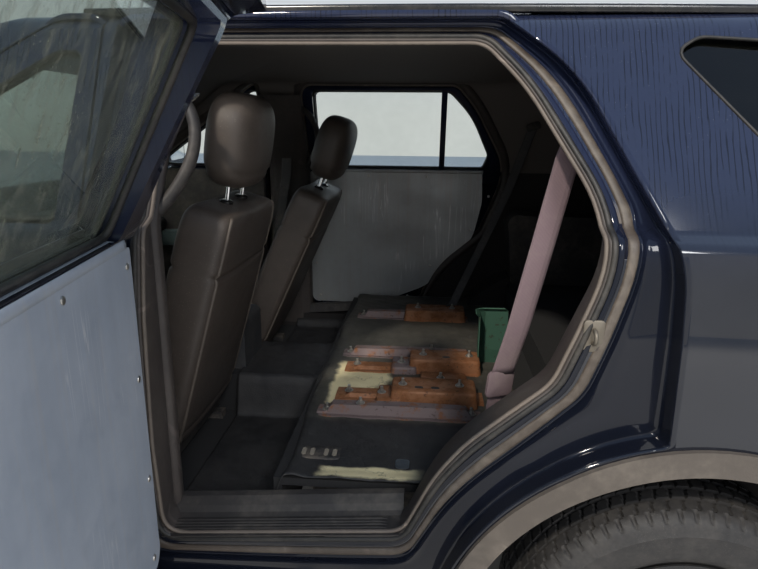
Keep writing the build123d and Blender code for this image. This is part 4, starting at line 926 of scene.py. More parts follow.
# %% [markdown]
# Along the sill lies a scuff plate with five ribs. Its section is carried along
# the doorway's lower edge, which climbs towards the wheelhouse. The pillar between
# the doors is clad by a lofted trim with the grab handle on it.

# %% Scuff plates
def sill_height(x):
    """Lower inner edge of the rear doorway: level, then climbing to the wheelhouse."""
    return np.interp(x, (0.283, 0.838), (0.553, 0.598))


plate_section = np.array([              # half width, height above the sill
    (0.788, 0.000), (0.796, 0.036), (0.806, 0.042), (0.822, 0.040), (0.840, 0.026), (0.850, 0.014),
    (0.862, 0.0085), (0.926, 0.006)])
ribs_from, ribs_to, rib_high, rib_pitch = 0.868, 0.918, 0.0028, 0.010
half = np.linspace(0.788, 0.926, 93)
plain = np.interp(half, plate_section[:, 0], plate_section[:, 1])
on_rib = np.sin((half - ribs_from) * 2 * math.pi / rib_pitch) > 0
rise = plain + ((half > ribs_from) & (half < ribs_to)) * rib_high * on_rib
along = np.linspace(0.288, 0.836, 34)
fade = np.clip(np.minimum(along - 0.30, 0.80 - along) / 0.004, 0, 1)[:, None]

# %% Pillar covers and grab handles
cover_section = spaced(rounded([        # x, depth behind the room's wall, radius
    (0.112, -0.004, 0.0), (0.2835, -0.004, 0.0), (0.2865, 0.012, 0.006), (0.298, 0.022, 0.008),
    (0.296, 0.050, 0.02), (0.250, 0.064, 0.02), (0.140, 0.064, 0.02), (0.112, 0.052, 0.02)], 6), 0.006)
cover_heights = (0.50, 0.60, 0.80, 1.00, 1.20, 1.262, 1.30, 1.40, 1.50, 1.60)
handle_points = [(0.268, 0.712, 1.545), (0.300, 0.694, 1.543), (0.334, 0.698, 1.512), (0.356, 0.722, 1.455),
                 (0.352, 0.752, 1.390), (0.325, 0.778, 1.335), (0.294, 0.798, 1.290), (0.262, 0.830, 1.262)]
for side, word in sides:
    x, y = np.meshgrid(along, side * half, indexing="ij")
    z = sill_height(x) + plain + (rise - plain) * fade
    layer("scuff_plate_" + word, np.stack([x, y, z], -1), 0.002, trim_dark, "body", smooth=False)
    grid = [np.stack([cover_section[:, 0], side * (room_half(z) - cover_section[:, 1]),
                      np.full(len(cover_section), z)], -1) for z in cover_heights]
    lofted("pillar_cover_" + word, grid, trim_brown, "body", crease=50)
    handle = smoothed(handle_points, 0.008)
    swept("grab_handle_" + word, handle * (1, side, 1), ring_profile(0.0155, 20, 0.85), trim_dark, "body",
          closed=False, up=(1, 0, 0))
print("pillar trims", len(sides))

# %% [markdown]
# Vinyl covers the floor behind the front seats. It is a height field: each place
# on the plan gets the height of the footwell, the tunnel or the platform for the
# missing seat, with the steps rolled over a few centimetres and the edge turned
# up at the sill. Small waves and wrinkles keep it from looking machined.

# %% Floor cover
def step(value, edge, soft):
    """0 to 1 over soft, centred on edge, eased at both ends."""
    t = np.clip((value - edge) / soft + 0.5, 0, 1)
    return t * t * (3 - 2 * t)


def floor_height(x, y):
    """Footwell, tunnel hump and seat platform, with rolled edges."""
    well, tunnel_top, platform = 0.486, 0.627, 0.6465
    hump = step(0.182 - np.abs(y), 0.0, 0.05)
    low = well + (tunnel_top - well) * hump
    up = step(x, 0.512 + 0.01 * np.cos(y * 9), 0.055)
    base = low + (platform - low) * up
    base = base + 0.010 * np.exp(-((x - 0.56) / 0.02) ** 2) * up * 0.4
    beyond = step(np.abs(y), 0.770, 0.04) * (0.006 + 0.030 * (1 - up))
    return base + beyond


plan_x, plan_y = np.linspace(0.225, 1.165, 150), np.linspace(-0.800, 0.800, 200)
x, y = np.meshgrid(plan_x, plan_y, indexing="ij")
wrinkles = (0.0016 * np.sin(x * 41 + 2.3 * np.sin(y * 13)) * np.sin(y * 27 + 1.7 * np.sin(x * 11))
            + 0.0010 * np.sin(x * 90 + y * 70) * np.sin(y * 55 - x * 30))
z = floor_height(x, y) + wrinkles
layer("floor_cover", np.stack([x, y, z], -1), 0.003, floor_matting, "body")
print("floor cover", x.shape)

# %% [markdown]
# What held the missing seat is bolted through the vinyl: rusty top-hat rails from
# side to side of the platform, a pressed box between them with slots, studs with
# nuts, a latch plate by the sill and a green folded plate at the tunnel.

# %% Bracket makers
ground = 0.648                          # top of the vinyl on the seat platform


def hat_rail(name, x0, x1, y, wide, high, material):
    """Top-hat rail along x: a flange each side of a raised middle, ends sloped down."""
    shoulder = 0.50 * 0.75 + 0.08
    section = np.array([(-1.0, 0.0), (-0.62, 0.0), (-shoulder, 1.0), (shoulder, 1.0),
                        (0.62, 0.0), (1.0, 0.0), (1.0, -0.10), (-1.0, -0.10)])
    below = section[:, 1] < 0
    raised = np.clip(section[:, 1], 0, 1)
    stations = ((x0, 0.12), (x0 + 0.004, 0.14), (x0 + 0.030, 0.16), (x0 + 0.045, 0.9), ((x0 + x1) / 2, 1.0),
                (x1 - 0.045, 0.9), (x1 - 0.030, 0.16), (x1 - 0.004, 0.14), (x1, 0.12))   # x, share of height
    grid = [np.stack([np.full(8, at), y + section[:, 0] * wide / 2,
                      ground + raised * high * grow + below * -0.003 + 0.0035 * ~below], -1)
            for at, grow in stations]
    return lofted(name, grid, material, "body", crease=20)


def rectangle(x0, x1, y0, y1):
    """Corners of a rectangle on the plan."""
    return [(x0, y0), (x1, y0), (x1, y1), (x0, y1)]


def pressed_box(name, corners, low, high, radius, material):
    """Box pressed from sheet: drafted sides, rolled top edge."""
    corners = np.asarray(corners, float)
    middle = corners.mean(0)
    outline = spaced(rounded(np.c_[corners, np.full(len(corners), radius * 1.6)], 6), 0.008)
    levels = ((low, 1.0), (low + 0.002, 1.0), (high - radius, 0.96), (high - radius * 0.3, 0.945),
              (high, 0.90), (high, 0.5), (high, 0.02))      # height, size of the outline there
    grid = [np.c_[drawn_in(outline, size, middle), np.full(len(outline), z)] for z, size in levels]
    return lofted(name, grid, material, "body", crease=50)


def nut_and_stud(name, x, y, z, size=0.008, high=0.020):
    """Hexagon nut on a washer with the stud's end above it."""
    washer = [(0.001, 0), (size * 1.7, 0), (size * 1.7, 0.002), (0.001, 0.002)]
    nut = [(0.001, 0.002), (size, 0.002), (size * 1.08, 0.003), (size * 1.08, 0.008), (size * 0.9, 0.009),
           (0.001, 0.009)]
    stud = [(0.001, 0.008), (size * 0.6, 0.008), (size * 0.6, high - 0.001), (size * 0.5, high),
            (0.001, high)]
    return joined(name, [turned(name + ending, (x, y, z), profile, bolt_steel, "body", count=count)
                         for ending, profile, count in (("_washer", washer, 20), ("", nut, 6),
                                                        ("_stud", stud, 12))])


# %% Seat brackets
rails = (                               # from x, to x, y, width, height
    (0.562, 1.045, -0.450, 0.072, 0.030, rust_mauve), (0.600, 1.060, -0.330, 0.090, 0.012, rust_orange),
    (0.574, 1.073, 0.018, 0.072, 0.026, rust_mauve), (0.600, 1.060, -0.110, 0.085, 0.012, rust_orange),
    (0.574, 1.060, 0.470, 0.072, 0.028, rust_mauve))
boxes = (                               # from x, to x, from y, to y, height
    (0.770, 1.040, -0.400, -0.285, 0.050, rust_orange), (0.820, 1.070, -0.145, -0.040, 0.050, rust_orange),
    (0.730, 0.810, -0.410, -0.290, 0.022, rust_orange), (0.760, 0.850, -0.160, -0.050, 0.024, rust_mauve),
    (0.860, 1.020, -0.275, -0.160, 0.018, rust_orange), (0.780, 1.050, 0.420, 0.530, 0.048, rust_orange))
nuts = (                                # x, y, height of what it stands on
    (0.590, -0.450, 0.008), (0.690, -0.450, 0.030), (1.015, -0.450, 0.012), (0.745, -0.350, 0.022),
    (0.810, -0.345, 0.050), (0.985, -0.340, 0.050), (0.640, -0.330, 0.013), (0.640, -0.110, 0.013),
    (0.795, -0.105, 0.024), (0.870, -0.090, 0.050), (1.030, -0.090, 0.050), (0.600, 0.018, 0.008),
    (0.930, -0.215, 0.018), (0.900, 0.018, 0.026), (0.600, 0.470, 0.008), (0.840, 0.475, 0.048),
    (0.990, 0.475, 0.048))
slots = ((0.860, -0.372), (0.910, -0.372), (0.950, -0.117))       # middle x, near edge y
for number, row in enumerate(rails):
    hat_rail("rail_%d" % number, *row)
for number, (x0, x1, y0, y1, high, material) in enumerate(boxes):
    pressed_box("bracket_%d" % number, rectangle(x0, x1, y0, y1), ground - 0.003,
                                     ground + high, 0.008, material)
for number, (x, y, z) in enumerate(nuts):
    nut_and_stud("nut_%d" % number, x, y, ground + z)
# dark plates: painted shade standing in for the open slots in the box tops
for number, (x, y) in enumerate(slots):
    pressed_box("slot_%d" % number, rectangle(x - 0.014, x + 0.014, y, y + 0.016),
                                     ground + 0.048, ground + 0.0506, 0.003, trim_dark)

# %% Folded plate, latch plate and floor hole
fold = spaced([(1.060, -0.095), (1.062, -0.035), (1.085, -0.022), (1.165, -0.020)], 0.006, closed=False)
plate_rows = ((0.645, 0.010), (0.70, 0.0), (0.78, 0.0), (0.845, 0.0), (0.858, -0.014))   # height, flare
grid = [np.c_[fold[:, 0] + flare, fold[:, 1] + flare, np.full(len(fold), z)] for z, flare in plate_rows]
layer("folded_plate", grid, 0.004, green_zinc, "body", smooth=False)
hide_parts("seat_brackets")
pressed_box("latch_plate", rectangle(0.552, 0.668, -0.715, -0.653), ground - 0.004, ground + 0.004, 0.004,
            chassis_metal)
for number, x in enumerate((0.570, 0.592, 0.628, 0.650)):
    pressed_box("latch_slot_%d" % number, rectangle(x - 0.006, x + 0.006, -0.702, -0.668), ground + 0.0035,
                ground + 0.0048, 0.003, trim_pale)
# gloss black plate: painted shade standing in for the dark inside of the hole
pressed_box("floor_hole", rectangle(0.807, 0.847, -0.742, -0.694), ground - 0.004, ground + 0.0025, 0.006,
            gloss_black)

# %% [markdown]
# Tyre tread. A tyre is a ring whose cross section is carried round the axle. The
# tread's grooves and cuts are pressed into that ring: every point knows its place
# across and around, and a sum of masks says how far it sinks. Because it is one
# grid it stays closed and smooth.

# %% Tyres
tyre_section = np.array([               # place across, radius
    (-0.099, 0.2345), (-0.105, 0.243), (-0.1135, 0.2525), (-0.118, 0.262), (-0.1195, 0.266), (-0.1190, 0.270),
    (-0.1215, 0.281), (-0.1225, 0.300), (-0.1212, 0.312), (-0.1222, 0.316), (-0.1205, 0.320), (-0.117, 0.330),
    (-0.113, 0.340), (-0.1085, 0.346), (-0.1035, 0.3505), (-0.098, 0.3545), (-0.0925, 0.3570)])
tread_across = np.array([-0.088, -0.080, -0.0715, -0.0705, -0.063, -0.0625, -0.0535, -0.053, -0.046, -0.039,
                         -0.032, -0.0255, -0.025, -0.015, -0.0145, -0.0075])
tread_across = np.r_[tread_across, 0.0, -tread_across[::-1]]
grooves = ((-0.058, 0.0046), (-0.020, 0.0051), (0.020, 0.0051), (0.058, 0.0046))   # place, half width
groove_deep, cut_deep, bar_deep, notch_deep = 0.008, 0.006, 0.0045, 0.0018
pitches, cuts = 72, 8
tread_radius_outer, crown_half = 0.363, 0.052


def tread_radius(across):
    """Radius of the uncut tread: nearly flat, falling away at the shoulders."""
    a = np.abs(across)
    return (tread_radius_outer - 0.001 * np.clip(a / crown_half, 0, 1) ** 2
            - np.clip(a - crown_half, 0, None) ** 2 * 3.4)


def tyre_mesh(name, node, x, side):
    """One closed ring: section by turn, with grooves, cuts, shoulder bars and notches sunk into it."""
    turns = pitches * cuts
    across = np.r_[tyre_section[:, 0], tread_across, -tyre_section[::-1, 0], 0.095, 0.0, -0.095]
    radius = np.r_[tyre_section[:, 1], tread_radius(tread_across), tyre_section[::-1, 1], [0.2295] * 3]
    angle = np.arange(turns) * 2 * math.pi / turns
    a, t = np.meshgrid(across, angle)
    r = np.broadcast_to(radius, a.shape).copy()
    on_tread = (np.abs(a) < 0.0885) & (r > 0.34)
    groove = np.zeros_like(a)
    for middle, half in grooves:
        groove = np.maximum(groove, (np.abs(a - middle) < half) * groove_deep)
    around = np.arange(turns)[:, None]
    rib = np.searchsorted([middle for middle, half in grooves], a)
    lag = np.array([0, 4, 2, 6, 1])[rib]
    slant = np.round(np.abs(a) * 55).astype(int)
    phase = (around + lag + slant * np.sign(a).astype(int)) % cuts
    sipe = (phase == 0) * cut_deep
    shoulder = (np.abs(a) > 0.0885) & (r > 0.343)
    bars = shoulder * ((around + lag) % cuts < 2) * bar_deep
    flank = (np.abs(a) > 0.1150) & (r > 0.318) & (r < 0.342)
    notches = flank * ((around % (cuts * 2)) < 3) * notch_deep
    r -= np.where(on_tread, np.maximum(groove, sipe), 0) + bars + notches
    points = np.stack([x + r * np.sin(t), side * (axle_y + a), axle_z + r * np.cos(t)], -1)
    obj = made(name, points, quads(*a.shape, True, True), tyre_rubber, "wheel_" + node[5:], weld=False)
    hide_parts(node)
    return sharpened(obj, 32)


for end, x in (("front", -axle_x), ("rear", axle_x)):
    for side, word in sides:
        tread = tyre_mesh("tread_%s_%s" % (end, word), "tyre_%s_%s" % (end, word), x, side)
print("tyre faces", len(tread.data.polygons))

# %% [markdown]
# Seats. A padded back is a crowned closed form: a section that is almost a
# rectangle, carried up a leaning line, fuller in the middle and drawn in at its
# ends. Written as a superellipse in both directions it is a single formula. Seams
# are pressed into it, and the piping is a thin roll laid on the same surface.

# %% Seats
def power(value, exponent):
    """A power that keeps the value's sign."""
    return np.sign(value) * np.abs(value) ** exponent


def crowned(half_long, half_wide, half_thick, square, ends, steps=(160, 150), narrow=0.0, scoop=0.0,
            seams=()):
    """Superellipse pad in its own frame: u goes round its section, v from end to end.

    share runs from -1 to 1 along it. The section's size there is the superellipse
    (1 - |share|^(2/ends))^(ends/2), and its two coordinates are signed powers of cos u
    and sin u. narrow draws the far end in, scoop hollows the front face, and a seam
    (share of the length, depth, width) is a groove across it."""
    u = np.linspace(0, 2 * math.pi, steps[0], endpoint=False)
    v = np.linspace(-math.pi / 2, math.pi / 2, steps[1])
    u, v = np.meshgrid(u, v)
    share = np.sin(v)
    long = share * half_long
    ring = np.clip(1 - np.abs(share) ** (2 / ends), 0, None) ** (ends / 2)
    wide = power(np.cos(u), square) * half_wide * ring * (1 - narrow * np.clip(share, 0, 1) ** 3)
    thick = power(np.sin(u), square) * half_thick * ring
    hollow = 1 - scoop * (1 - np.clip(np.abs(wide) / half_wide, 0, 1) ** 2.5)
    thick = np.where(thick > 0, thick * hollow, thick * (1 + 0.07 * (1 - (wide / half_wide) ** 2)))
    for at, depth, width in seams:
        press = depth * np.exp(-((share - at) * half_long / width) ** 2)
        thick = thick - np.sign(thick) * press
    return np.stack([long, wide, thick], -1)


def stood(grid, middle, along):
    """The pad's own frame turned into the vehicle's: long up the line, thick forward."""
    along = np.asarray(along, float) / np.linalg.norm(along)
    side = np.array([0, 1.0, 0])
    return (np.asarray(middle) + grid[..., :1] * along + grid[..., 1:2] * side
            + grid[..., 2:3] * np.cross(along, side))


def pad(name, grid, material, body):
    """A closed pad from its grid."""
    obj = made(name, grid, quads(*grid.shape[:2], False, True), material, body)
    return obj


def piping(name, grid, column, rows, radius=0.0048):
    """Sewn edge roll that follows one column of a pad."""
    line = grid[rows, column]
    return swept(name, spaced(line, 0.008, closed=False), ring_profile(radius, 10), piping_leather, "body",
                 closed=False, up=(0.3, 0.2, 0.9))


seat_hinge = np.array([0.200, 0.0, 0.640])
head_shift = -0.012
seats = {"driver": (-0.392, -0.080, 6.0), "passenger": (0.392, -0.060, 14.5)}   # y, slide, lean in degrees
collar_profile = [(0.007, 0), (0.019, 0), (0.019, 0.008), (0.012, 0.012), (0.007, 0.012)]   # radius, height
base_outline = rounded([(-0.160, 0.500, 0.03), (0.235, 0.500, 0.04), (0.262, 0.640, 0.05),
                        (-0.170, 0.655, 0.03)])
shield_outline = spaced(rounded([(-0.150, 0.600, 0.03), (0.215, 0.585, 0.06), (0.285, 0.640, 0.05),
                                 (0.262, 0.760, 0.05), (0.190, 0.770, 0.04), (0.120, 0.680, 0.08),
                                 (-0.160, 0.670, 0.03)], 8), 0.008)
shield_rows = ((0.000, 1.0), (0.012, 1.0), (0.018, 0.97), (0.020, 0.90), (0.020, 0.4), (0.020, 0.02))
rail_outline = np.array([(-0.20, 0.470), (0.26, 0.470), (0.26, 0.505), (-0.20, 0.505)])
for word, (y, shift, angle) in seats.items():
    angle = math.radians(angle)

    def leant(x, z):
        """A point of the upright seat's back after it is leant about its hinge and slid."""
        dx, dz = x - seat_hinge[0], z - seat_hinge[2]
        return np.array([seat_hinge[0] + shift + dx * math.cos(angle) + dz * math.sin(angle), y,
                         seat_hinge[2] - dx * math.sin(angle) + dz * math.cos(angle)])

    foot, crest = leant(0.215, 0.612), leant(0.335, 1.278)
    back = crowned(0.342, 0.240, 0.074, 0.30, 0.17, narrow=0.02, scoop=0.30,
                   seams=((0.52, 0.0070, 0.0065), (-0.86, 0.004, 0.010)))
    back = stood(back, (foot + crest) / 2, crest - foot)
    pad("backrest_" + word, back, seat_leather, "body")
    for number, column in enumerate((99, 141)):
        piping("piping_%s_%d" % (word, number), back, column, slice(12, 139))
    level = np.array([0.995, 0, -0.09])
    cushion = crowned(0.245, 0.236, 0.066, 0.40, 0.32, (104, 112), scoop=0.2,
                      seams=((-0.55, 0.004, 0.008),))
    cushion = stood(cushion, (0.040 + shift, y, 0.695), level)
    pad("cushion_" + word, cushion, seat_leather, "body")
    low, high = leant(0.342, 1.326), leant(0.357, 1.572)
    head = crowned(0.125, 0.158, 0.070, 0.70, 0.62, (96, 100), narrow=0.02,
                   seams=((-0.62, 0.003, 0.008),))
    head = stood(head, (low + high) / 2 + (0, head_shift, 0), high - low)
    pad("headrest_" + word, head, seat_leather, "body")
    for post, beside in (("left", -0.066), ("right", 0.066)):
        ends = np.linspace(leant(0.334, 1.235), leant(0.342, 1.365), 8) + (0, beside, 0)
        swept("post_%s_%s" % (word, post), ends, ring_profile(0.0062, 16), chrome, "body", closed=False,
              up=(1, 0, 0))
        collar = leant(0.334, 1.278) + (0, beside, 0)
        turned("collar_%s_%s" % (word, post), collar, collar_profile, gloss_black, "body",
               leant(0.34, 1.4) - crest)
    ring = np.stack([base_outline[:, 0] + shift, np.full(len(base_outline), y - 0.215),
                     base_outline[:, 1]], -1)
    lofted("seat_base_" + word, [ring, ring + (0, 0.430, 0)], trim_dark, "body", smooth=False)
    for side, hand in sides:
        grid = []
        for out, size in shield_rows:
            ring = drawn_in(shield_outline, size)
            grid.append(np.c_[ring[:, 0] + shift, np.full(len(ring), y + side * (0.222 + out)), ring[:, 1]])
        lofted("seat_shield_%s_%s" % (word, hand), grid, trim_dark, "body", crease=40)
    for side, hand in sides:
        ring = np.stack([rail_outline[:, 0] + shift, np.full(4, y + side * 0.190 - 0.018),
                         rail_outline[:, 1]], -1)
        lofted("seat_rail_%s_%s" % (word, hand), [ring, ring + (0, 0.036, 0)], chassis_metal, "body",
               smooth=False)
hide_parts("front_seats")

# %% [markdown]
# Belts. A strap is a flat ribbon whose width direction is chosen at each point, so
# it can turn over on its way. Its UV map runs in metres across and along, which
# keeps the weave the same size everywhere. Each has its guide above and its
# anchor below.

# %% Belts
def strap(name, points, widths, material, wide=0.048, thick=0.0014, body="body"):
    """Ribbon through points: widths gives its side direction at the same points."""
    points, widths = np.asarray(points, float), np.asarray(widths, float)
    run = np.r_[0, np.cumsum(np.linalg.norm(np.diff(points, axis=0), axis=1))]
    at = np.linspace(0, run[-1], max(12, int(run[-1] / 0.02)))
    line = np.stack([np.interp(at, run, points[:, k]) for k in range(3)], -1)
    side = np.stack([np.interp(at, run, widths[:, k]) for k in range(3)], -1)
    side /= np.linalg.norm(side, axis=1)[:, None]
    ahead = np.gradient(line, axis=0)
    flat = np.cross(ahead, side)
    flat /= np.linalg.norm(flat, axis=1)[:, None]
    share = np.r_[np.linspace(-0.5, 0.5, 9), np.linspace(0.5, -0.5, 9)]
    face = np.r_[np.full(9, 0.5), np.full(9, -0.5)]
    bow = 0.0010 * np.sin(at * 23)[:, None] * (1 - 4 * share[None] ** 2)
    grid = (line[:, None] + side[:, None] * share[None, :, None] * wide
            + flat[:, None] * (face[None, :, None] * thick + bow[..., None]))
    uv = np.stack(np.broadcast_arrays((share + 0.5)[None] * wide, at[:, None]), -1).reshape(-1, 2)
    rows, columns = grid.shape[:2]
    faces = quads(rows, columns, False, True).tolist()
    faces += [list(range(columns)), list(range((rows - 1) * columns, rows * columns))]
    return made(name, grid, faces, material, body, uv=uv, weld=False)


def guide(name, at, side, up, wide=0.064, high=0.034, material=trim_dark, body="body", thick=0.010):
    """Pressed plate that a belt runs through: a rounded block round its slot."""
    side, up = np.asarray(side, float), np.asarray(up, float)
    side, up = side / np.linalg.norm(side), up / np.linalg.norm(up)
    face = np.cross(side, up)
    ring = spaced(rounded([(-wide / 2, -high / 2, 0.012), (wide / 2, -high / 2, 0.012),
                           (wide / 2, high / 2, 0.014), (-wide / 2, high / 2, 0.014)], 6), 0.004)
    rows = [(-0.5, 0.02), (-0.5, 0.85), (-0.35, 1.0), (0.35, 1.0), (0.5, 0.85), (0.5, 0.02)]
    grid = [np.asarray(at) + ring[:, :1] * size * side + ring[:, 1:] * size * up + face * out * thick
            for out, size in rows]
    return lofted(name, grid, material, body, crease=50)


near_belt = [(1.192, -0.716, 1.470), (1.173, -0.700, 1.423), (1.133, -0.700, 1.220), (1.0895, -0.700, 1.010),
             (1.062, -0.690, 0.892)]
near_turns = [(1.0, 0.30, 0.0), (1.0, 0.20, 0.10), (1.0, 0.15, 0.15), (1.0, 0.20, 0.15), (1.0, 0.30, 0.0)]
far_belt = [(1.329, 0.716, 1.483), (1.229, 0.745, 1.166), (1.130, 0.672, 0.960), (0.983, 0.513, 0.680)]
far_turns = [(1.0, 0.0, 0.3), (1.0, 0.0, 0.3), (1.0, 0.1, 0.35), (1.0, 0.2, 0.3)]
far_lower = [(0.983, 0.513, 0.680), (1.010, 0.560, 0.668), (1.060, 0.640, 0.656)]
lower_turns = [(0.6, 0.7, 0.0), (-0.5, 0.8, 0.0), (-0.5, 0.8, 0.0)]
belt_parts = [strap("belt_near", near_belt, near_turns, belt_mauve, 0.058),
              strap("belt_far", far_belt, far_turns, belt_dark),
              strap("belt_far_lower", far_lower, lower_turns, belt_dark)]
for side, word in sides:
    front_belt = [(0.205, side * 0.752, 1.450), (0.196, side * 0.768, 1.250), (0.150, side * 0.775, 1.000),
                  (0.120, side * 0.775, 0.640)]
    belt_parts.append(strap("belt_front_" + word, front_belt, [(1, 0, 0)] * 4, belt_dark))
    guide("belt_guide_" + word, (0.205, side * 0.748, 1.452), (1, 0, 0), (0, -side * 0.35, 1), high=0.040)
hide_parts("rear_belts")
guide("belt_guide_near", (1.190, -0.712, 1.462), (1.0, 0.3, 0.0), (-0.1, 0.0, 1.0))
guide("belt_guide_far", (1.326, 0.716, 1.475), (1.0, 0.1, 0.3), (-0.3, 0.0, 1.0))
guide("buckle_near", (1.058, -0.688, 0.868), (1.0, 0.45, 0.0), (0.1, 0.05, 1.0), 0.070, 0.066, belt_mauve,
      thick=0.012)
guide("buckle_anchor", (1.052, -0.682, 0.800), (1.0, 0.45, 0.0), (0.1, 0.05, 1.0), 0.050, 0.090, belt_mauve,
      thick=0.008)
guide("buckle_far", (0.985, 0.515, 0.682), (0.6, 0.7, 0.0), (-0.3, 0.3, 0.9), 0.050, 0.040)
print("straps", len(belt_parts))

# %% [markdown]
# The open door shows its inner face. Pieces on it are drawn where the closed door
# has them and then turned with it about its hinge line. The guard panel has its
# screws, its upper edge is folded outwards over the window's foot, and the pane
# sits in a soft bead. The closed doors get the same beads.

# %% Turning with the open door
rear_hinge, opened = np.array([0.206, -0.970]), math.radians(-80)


def swung(points, side):
    """Closed-door points of the left rear door turned to its rest angle."""
    points = np.array(points, float)
    if side > 0:
        return points
    c, s = math.cos(opened), math.sin(opened)
    away = points[..., :2] - rear_hinge
    points[..., 0] = rear_hinge[0] + away[..., 0] * c - away[..., 1] * s
    points[..., 1] = rear_hinge[1] + away[..., 0] * s + away[..., 1] * c
    return points


def plate_on_side(name, corners, rows, side, material, body, step=0.010):
    """A rounded outline on x, z stacked along y: rows are half widths and the size there."""
    ring = spaced(rounded(corners, 8), step)
    grid = []
    for y, size in rows:
        flat = drawn_in(ring, size)
        grid.append(np.c_[flat[:, 0], np.full(len(flat), side * y), flat[:, 1]])
    return lofted(name, grid, material, body, crease=40)


# %% Window beads and bars
panes = {"front": [(-0.490, 1.281, 0.03), (0.116, 1.281, 0.02), (0.116, 1.624, 0.03), (0.057, 1.624, 0.05)],
         "rear": [(0.335, 1.281, 0.02), (1.128, 1.281, 0.02), (1.150, 1.345, 0.03), (1.062, 1.520, 0.5),
                  (0.955, 1.624, 0.06), (0.345, 1.624, 0.03)]}
bar_x, bar_z = 0.930, np.linspace(1.285, 1.620, 20)
bar_profile = [(-0.013, -0.004), (0.013, -0.004), (0.013, 0.003), (0, 0.005), (-0.013, 0.003)]
for side, word in sides:
    for opening, corners in panes.items():
        door = "%s_door_%s" % (opening, word)
        flat = spaced(rounded(corners, 8), 0.014)
        for number, inset in enumerate((0.012, 0.036)):       # outer and inner face of the pane
            path = np.stack([flat[:, 0], side * (skin_half(flat[:, 1]) - inset), flat[:, 1]], -1)
            path = swung(path, side) if opening == "rear" else path
            swept("bead_%s_%d" % (door, number), path, ring_profile(0.0062, 10, 1.4), seal_rubber, door)
    bar = np.stack([np.full(len(bar_z), bar_x), side * (skin_half(bar_z) - 0.010), bar_z], -1)
    swept("window_bar_" + word, swung(bar, side), bar_profile, gloss_black, "rear_door_" + word,
          closed=False, up=(0, side, 0))

# %% Guard panels, door cards and strikers
guard_fold = np.array([                 # half width, height: the panel's upper edge, folded outwards
    (0.8505, 1.2555), (0.8505, 1.2640), (0.8520, 1.2700), (0.8570, 1.2735), (0.8700, 1.2745),
    (0.8900, 1.2735), (0.8960, 1.2700)])
guard_screws = [                        # x, z
    (0.318, 1.225), (0.318, 1.010), (0.318, 0.800), (0.335, 0.632), (0.560, 0.628), (0.780, 0.640),
    (0.890, 0.800), (1.080, 0.985), (1.160, 1.150), (1.120, 1.235), (0.860, 1.240), (0.580, 1.240)]
screw_head = [(0.0005, 0.0), (0.0065, 0.0), (0.0060, 0.0018), (0.0035, 0.0030), (0.0005, 0.0032)]
card_outline = [(-0.660, 0.600, 0.05), (0.068, 0.600, 0.04), (0.068, 1.262, 0.03), (-0.560, 1.262, 0.04),
                (-0.665, 1.150, 0.05)]
card_rows = ((0.858, 1.0), (0.846, 1.0), (0.838, 0.985), (0.835, 0.95), (0.835, 0.5), (0.835, 0.02))
rest_outline = [(-0.520, 0.880, 0.03), (0.030, 0.905, 0.03), (0.030, 0.975, 0.03), (-0.520, 0.955, 0.03)]
rest_rows = ((0.838, 1.0), (0.790, 1.0), (0.778, 0.96), (0.775, 0.9), (0.775, 0.02))
striker_x, striker_z = 1.197, 1.081
striker_bow = ((0.922, -0.014), (0.944, -0.015), (0.952, 0.0), (0.944, 0.015), (0.922, 0.014))
striker_plate = [(striker_x + ahead * 0.020, striker_z + above * 0.032, 0.008)
                 for ahead, above in ((-1, -1), (1, -1), (1, 1), (-1, 1))]
striker_rows = ((0.9225, 0.02), (0.9225, 1.0), (0.9290, 1.0), (0.9305, 0.9), (0.9305, 0.02))
for side, word in sides:
    body = "rear_door_" + word
    x, k = np.meshgrid(np.linspace(0.310, 1.128, 60), np.arange(len(guard_fold)), indexing="ij")
    grid = np.stack([x, side * guard_fold[k, 0], guard_fold[k, 1]], -1)
    layer("guard_fold_" + word, swung(grid, side), 0.0022, guard_near if side < 0 else guard_far, body)
    heads = []
    for number, (x, z) in enumerate(guard_screws):
        at = swung((x, side * 0.8492, z), side)
        inward = swung((x, side * 0.80, z), side) - at
        heads.append(turned("screw_%s_%d" % (word, number), at, screw_head, bolt_steel, body, inward, 14))
    joined("guard_screws_" + word, heads)
    plate_on_side("door_card_" + word, card_outline, card_rows, side, trim_dark, "front_door_" + word)
    plate_on_side("armrest_" + word, rest_outline, rest_rows, side, dash_teal, "front_door_" + word)
    loop = smoothed([(striker_x, side * out, striker_z + rise) for out, rise in striker_bow], 0.004)
    bar = swept("striker_loop_" + word, loop, ring_profile(0.0042, 12), striker_metal, "body", closed=False,
                up=(1, 0, 0))
    plate = plate_on_side("striker_plate_" + word, striker_plate, striker_rows, side, striker_metal, "body",
                          0.004)
    joined("striker_" + word, [bar, plate])
print("guard screws", len(guard_screws) * len(sides))

# %% [markdown]
# Small trim finishes the outside: seals round the fixed side glass, strips along
# the roof's edges and the mirrors' glass. A seal and a strip are sections carried
# along a line, as the door seals are. There are no number plates, because none
# shows.

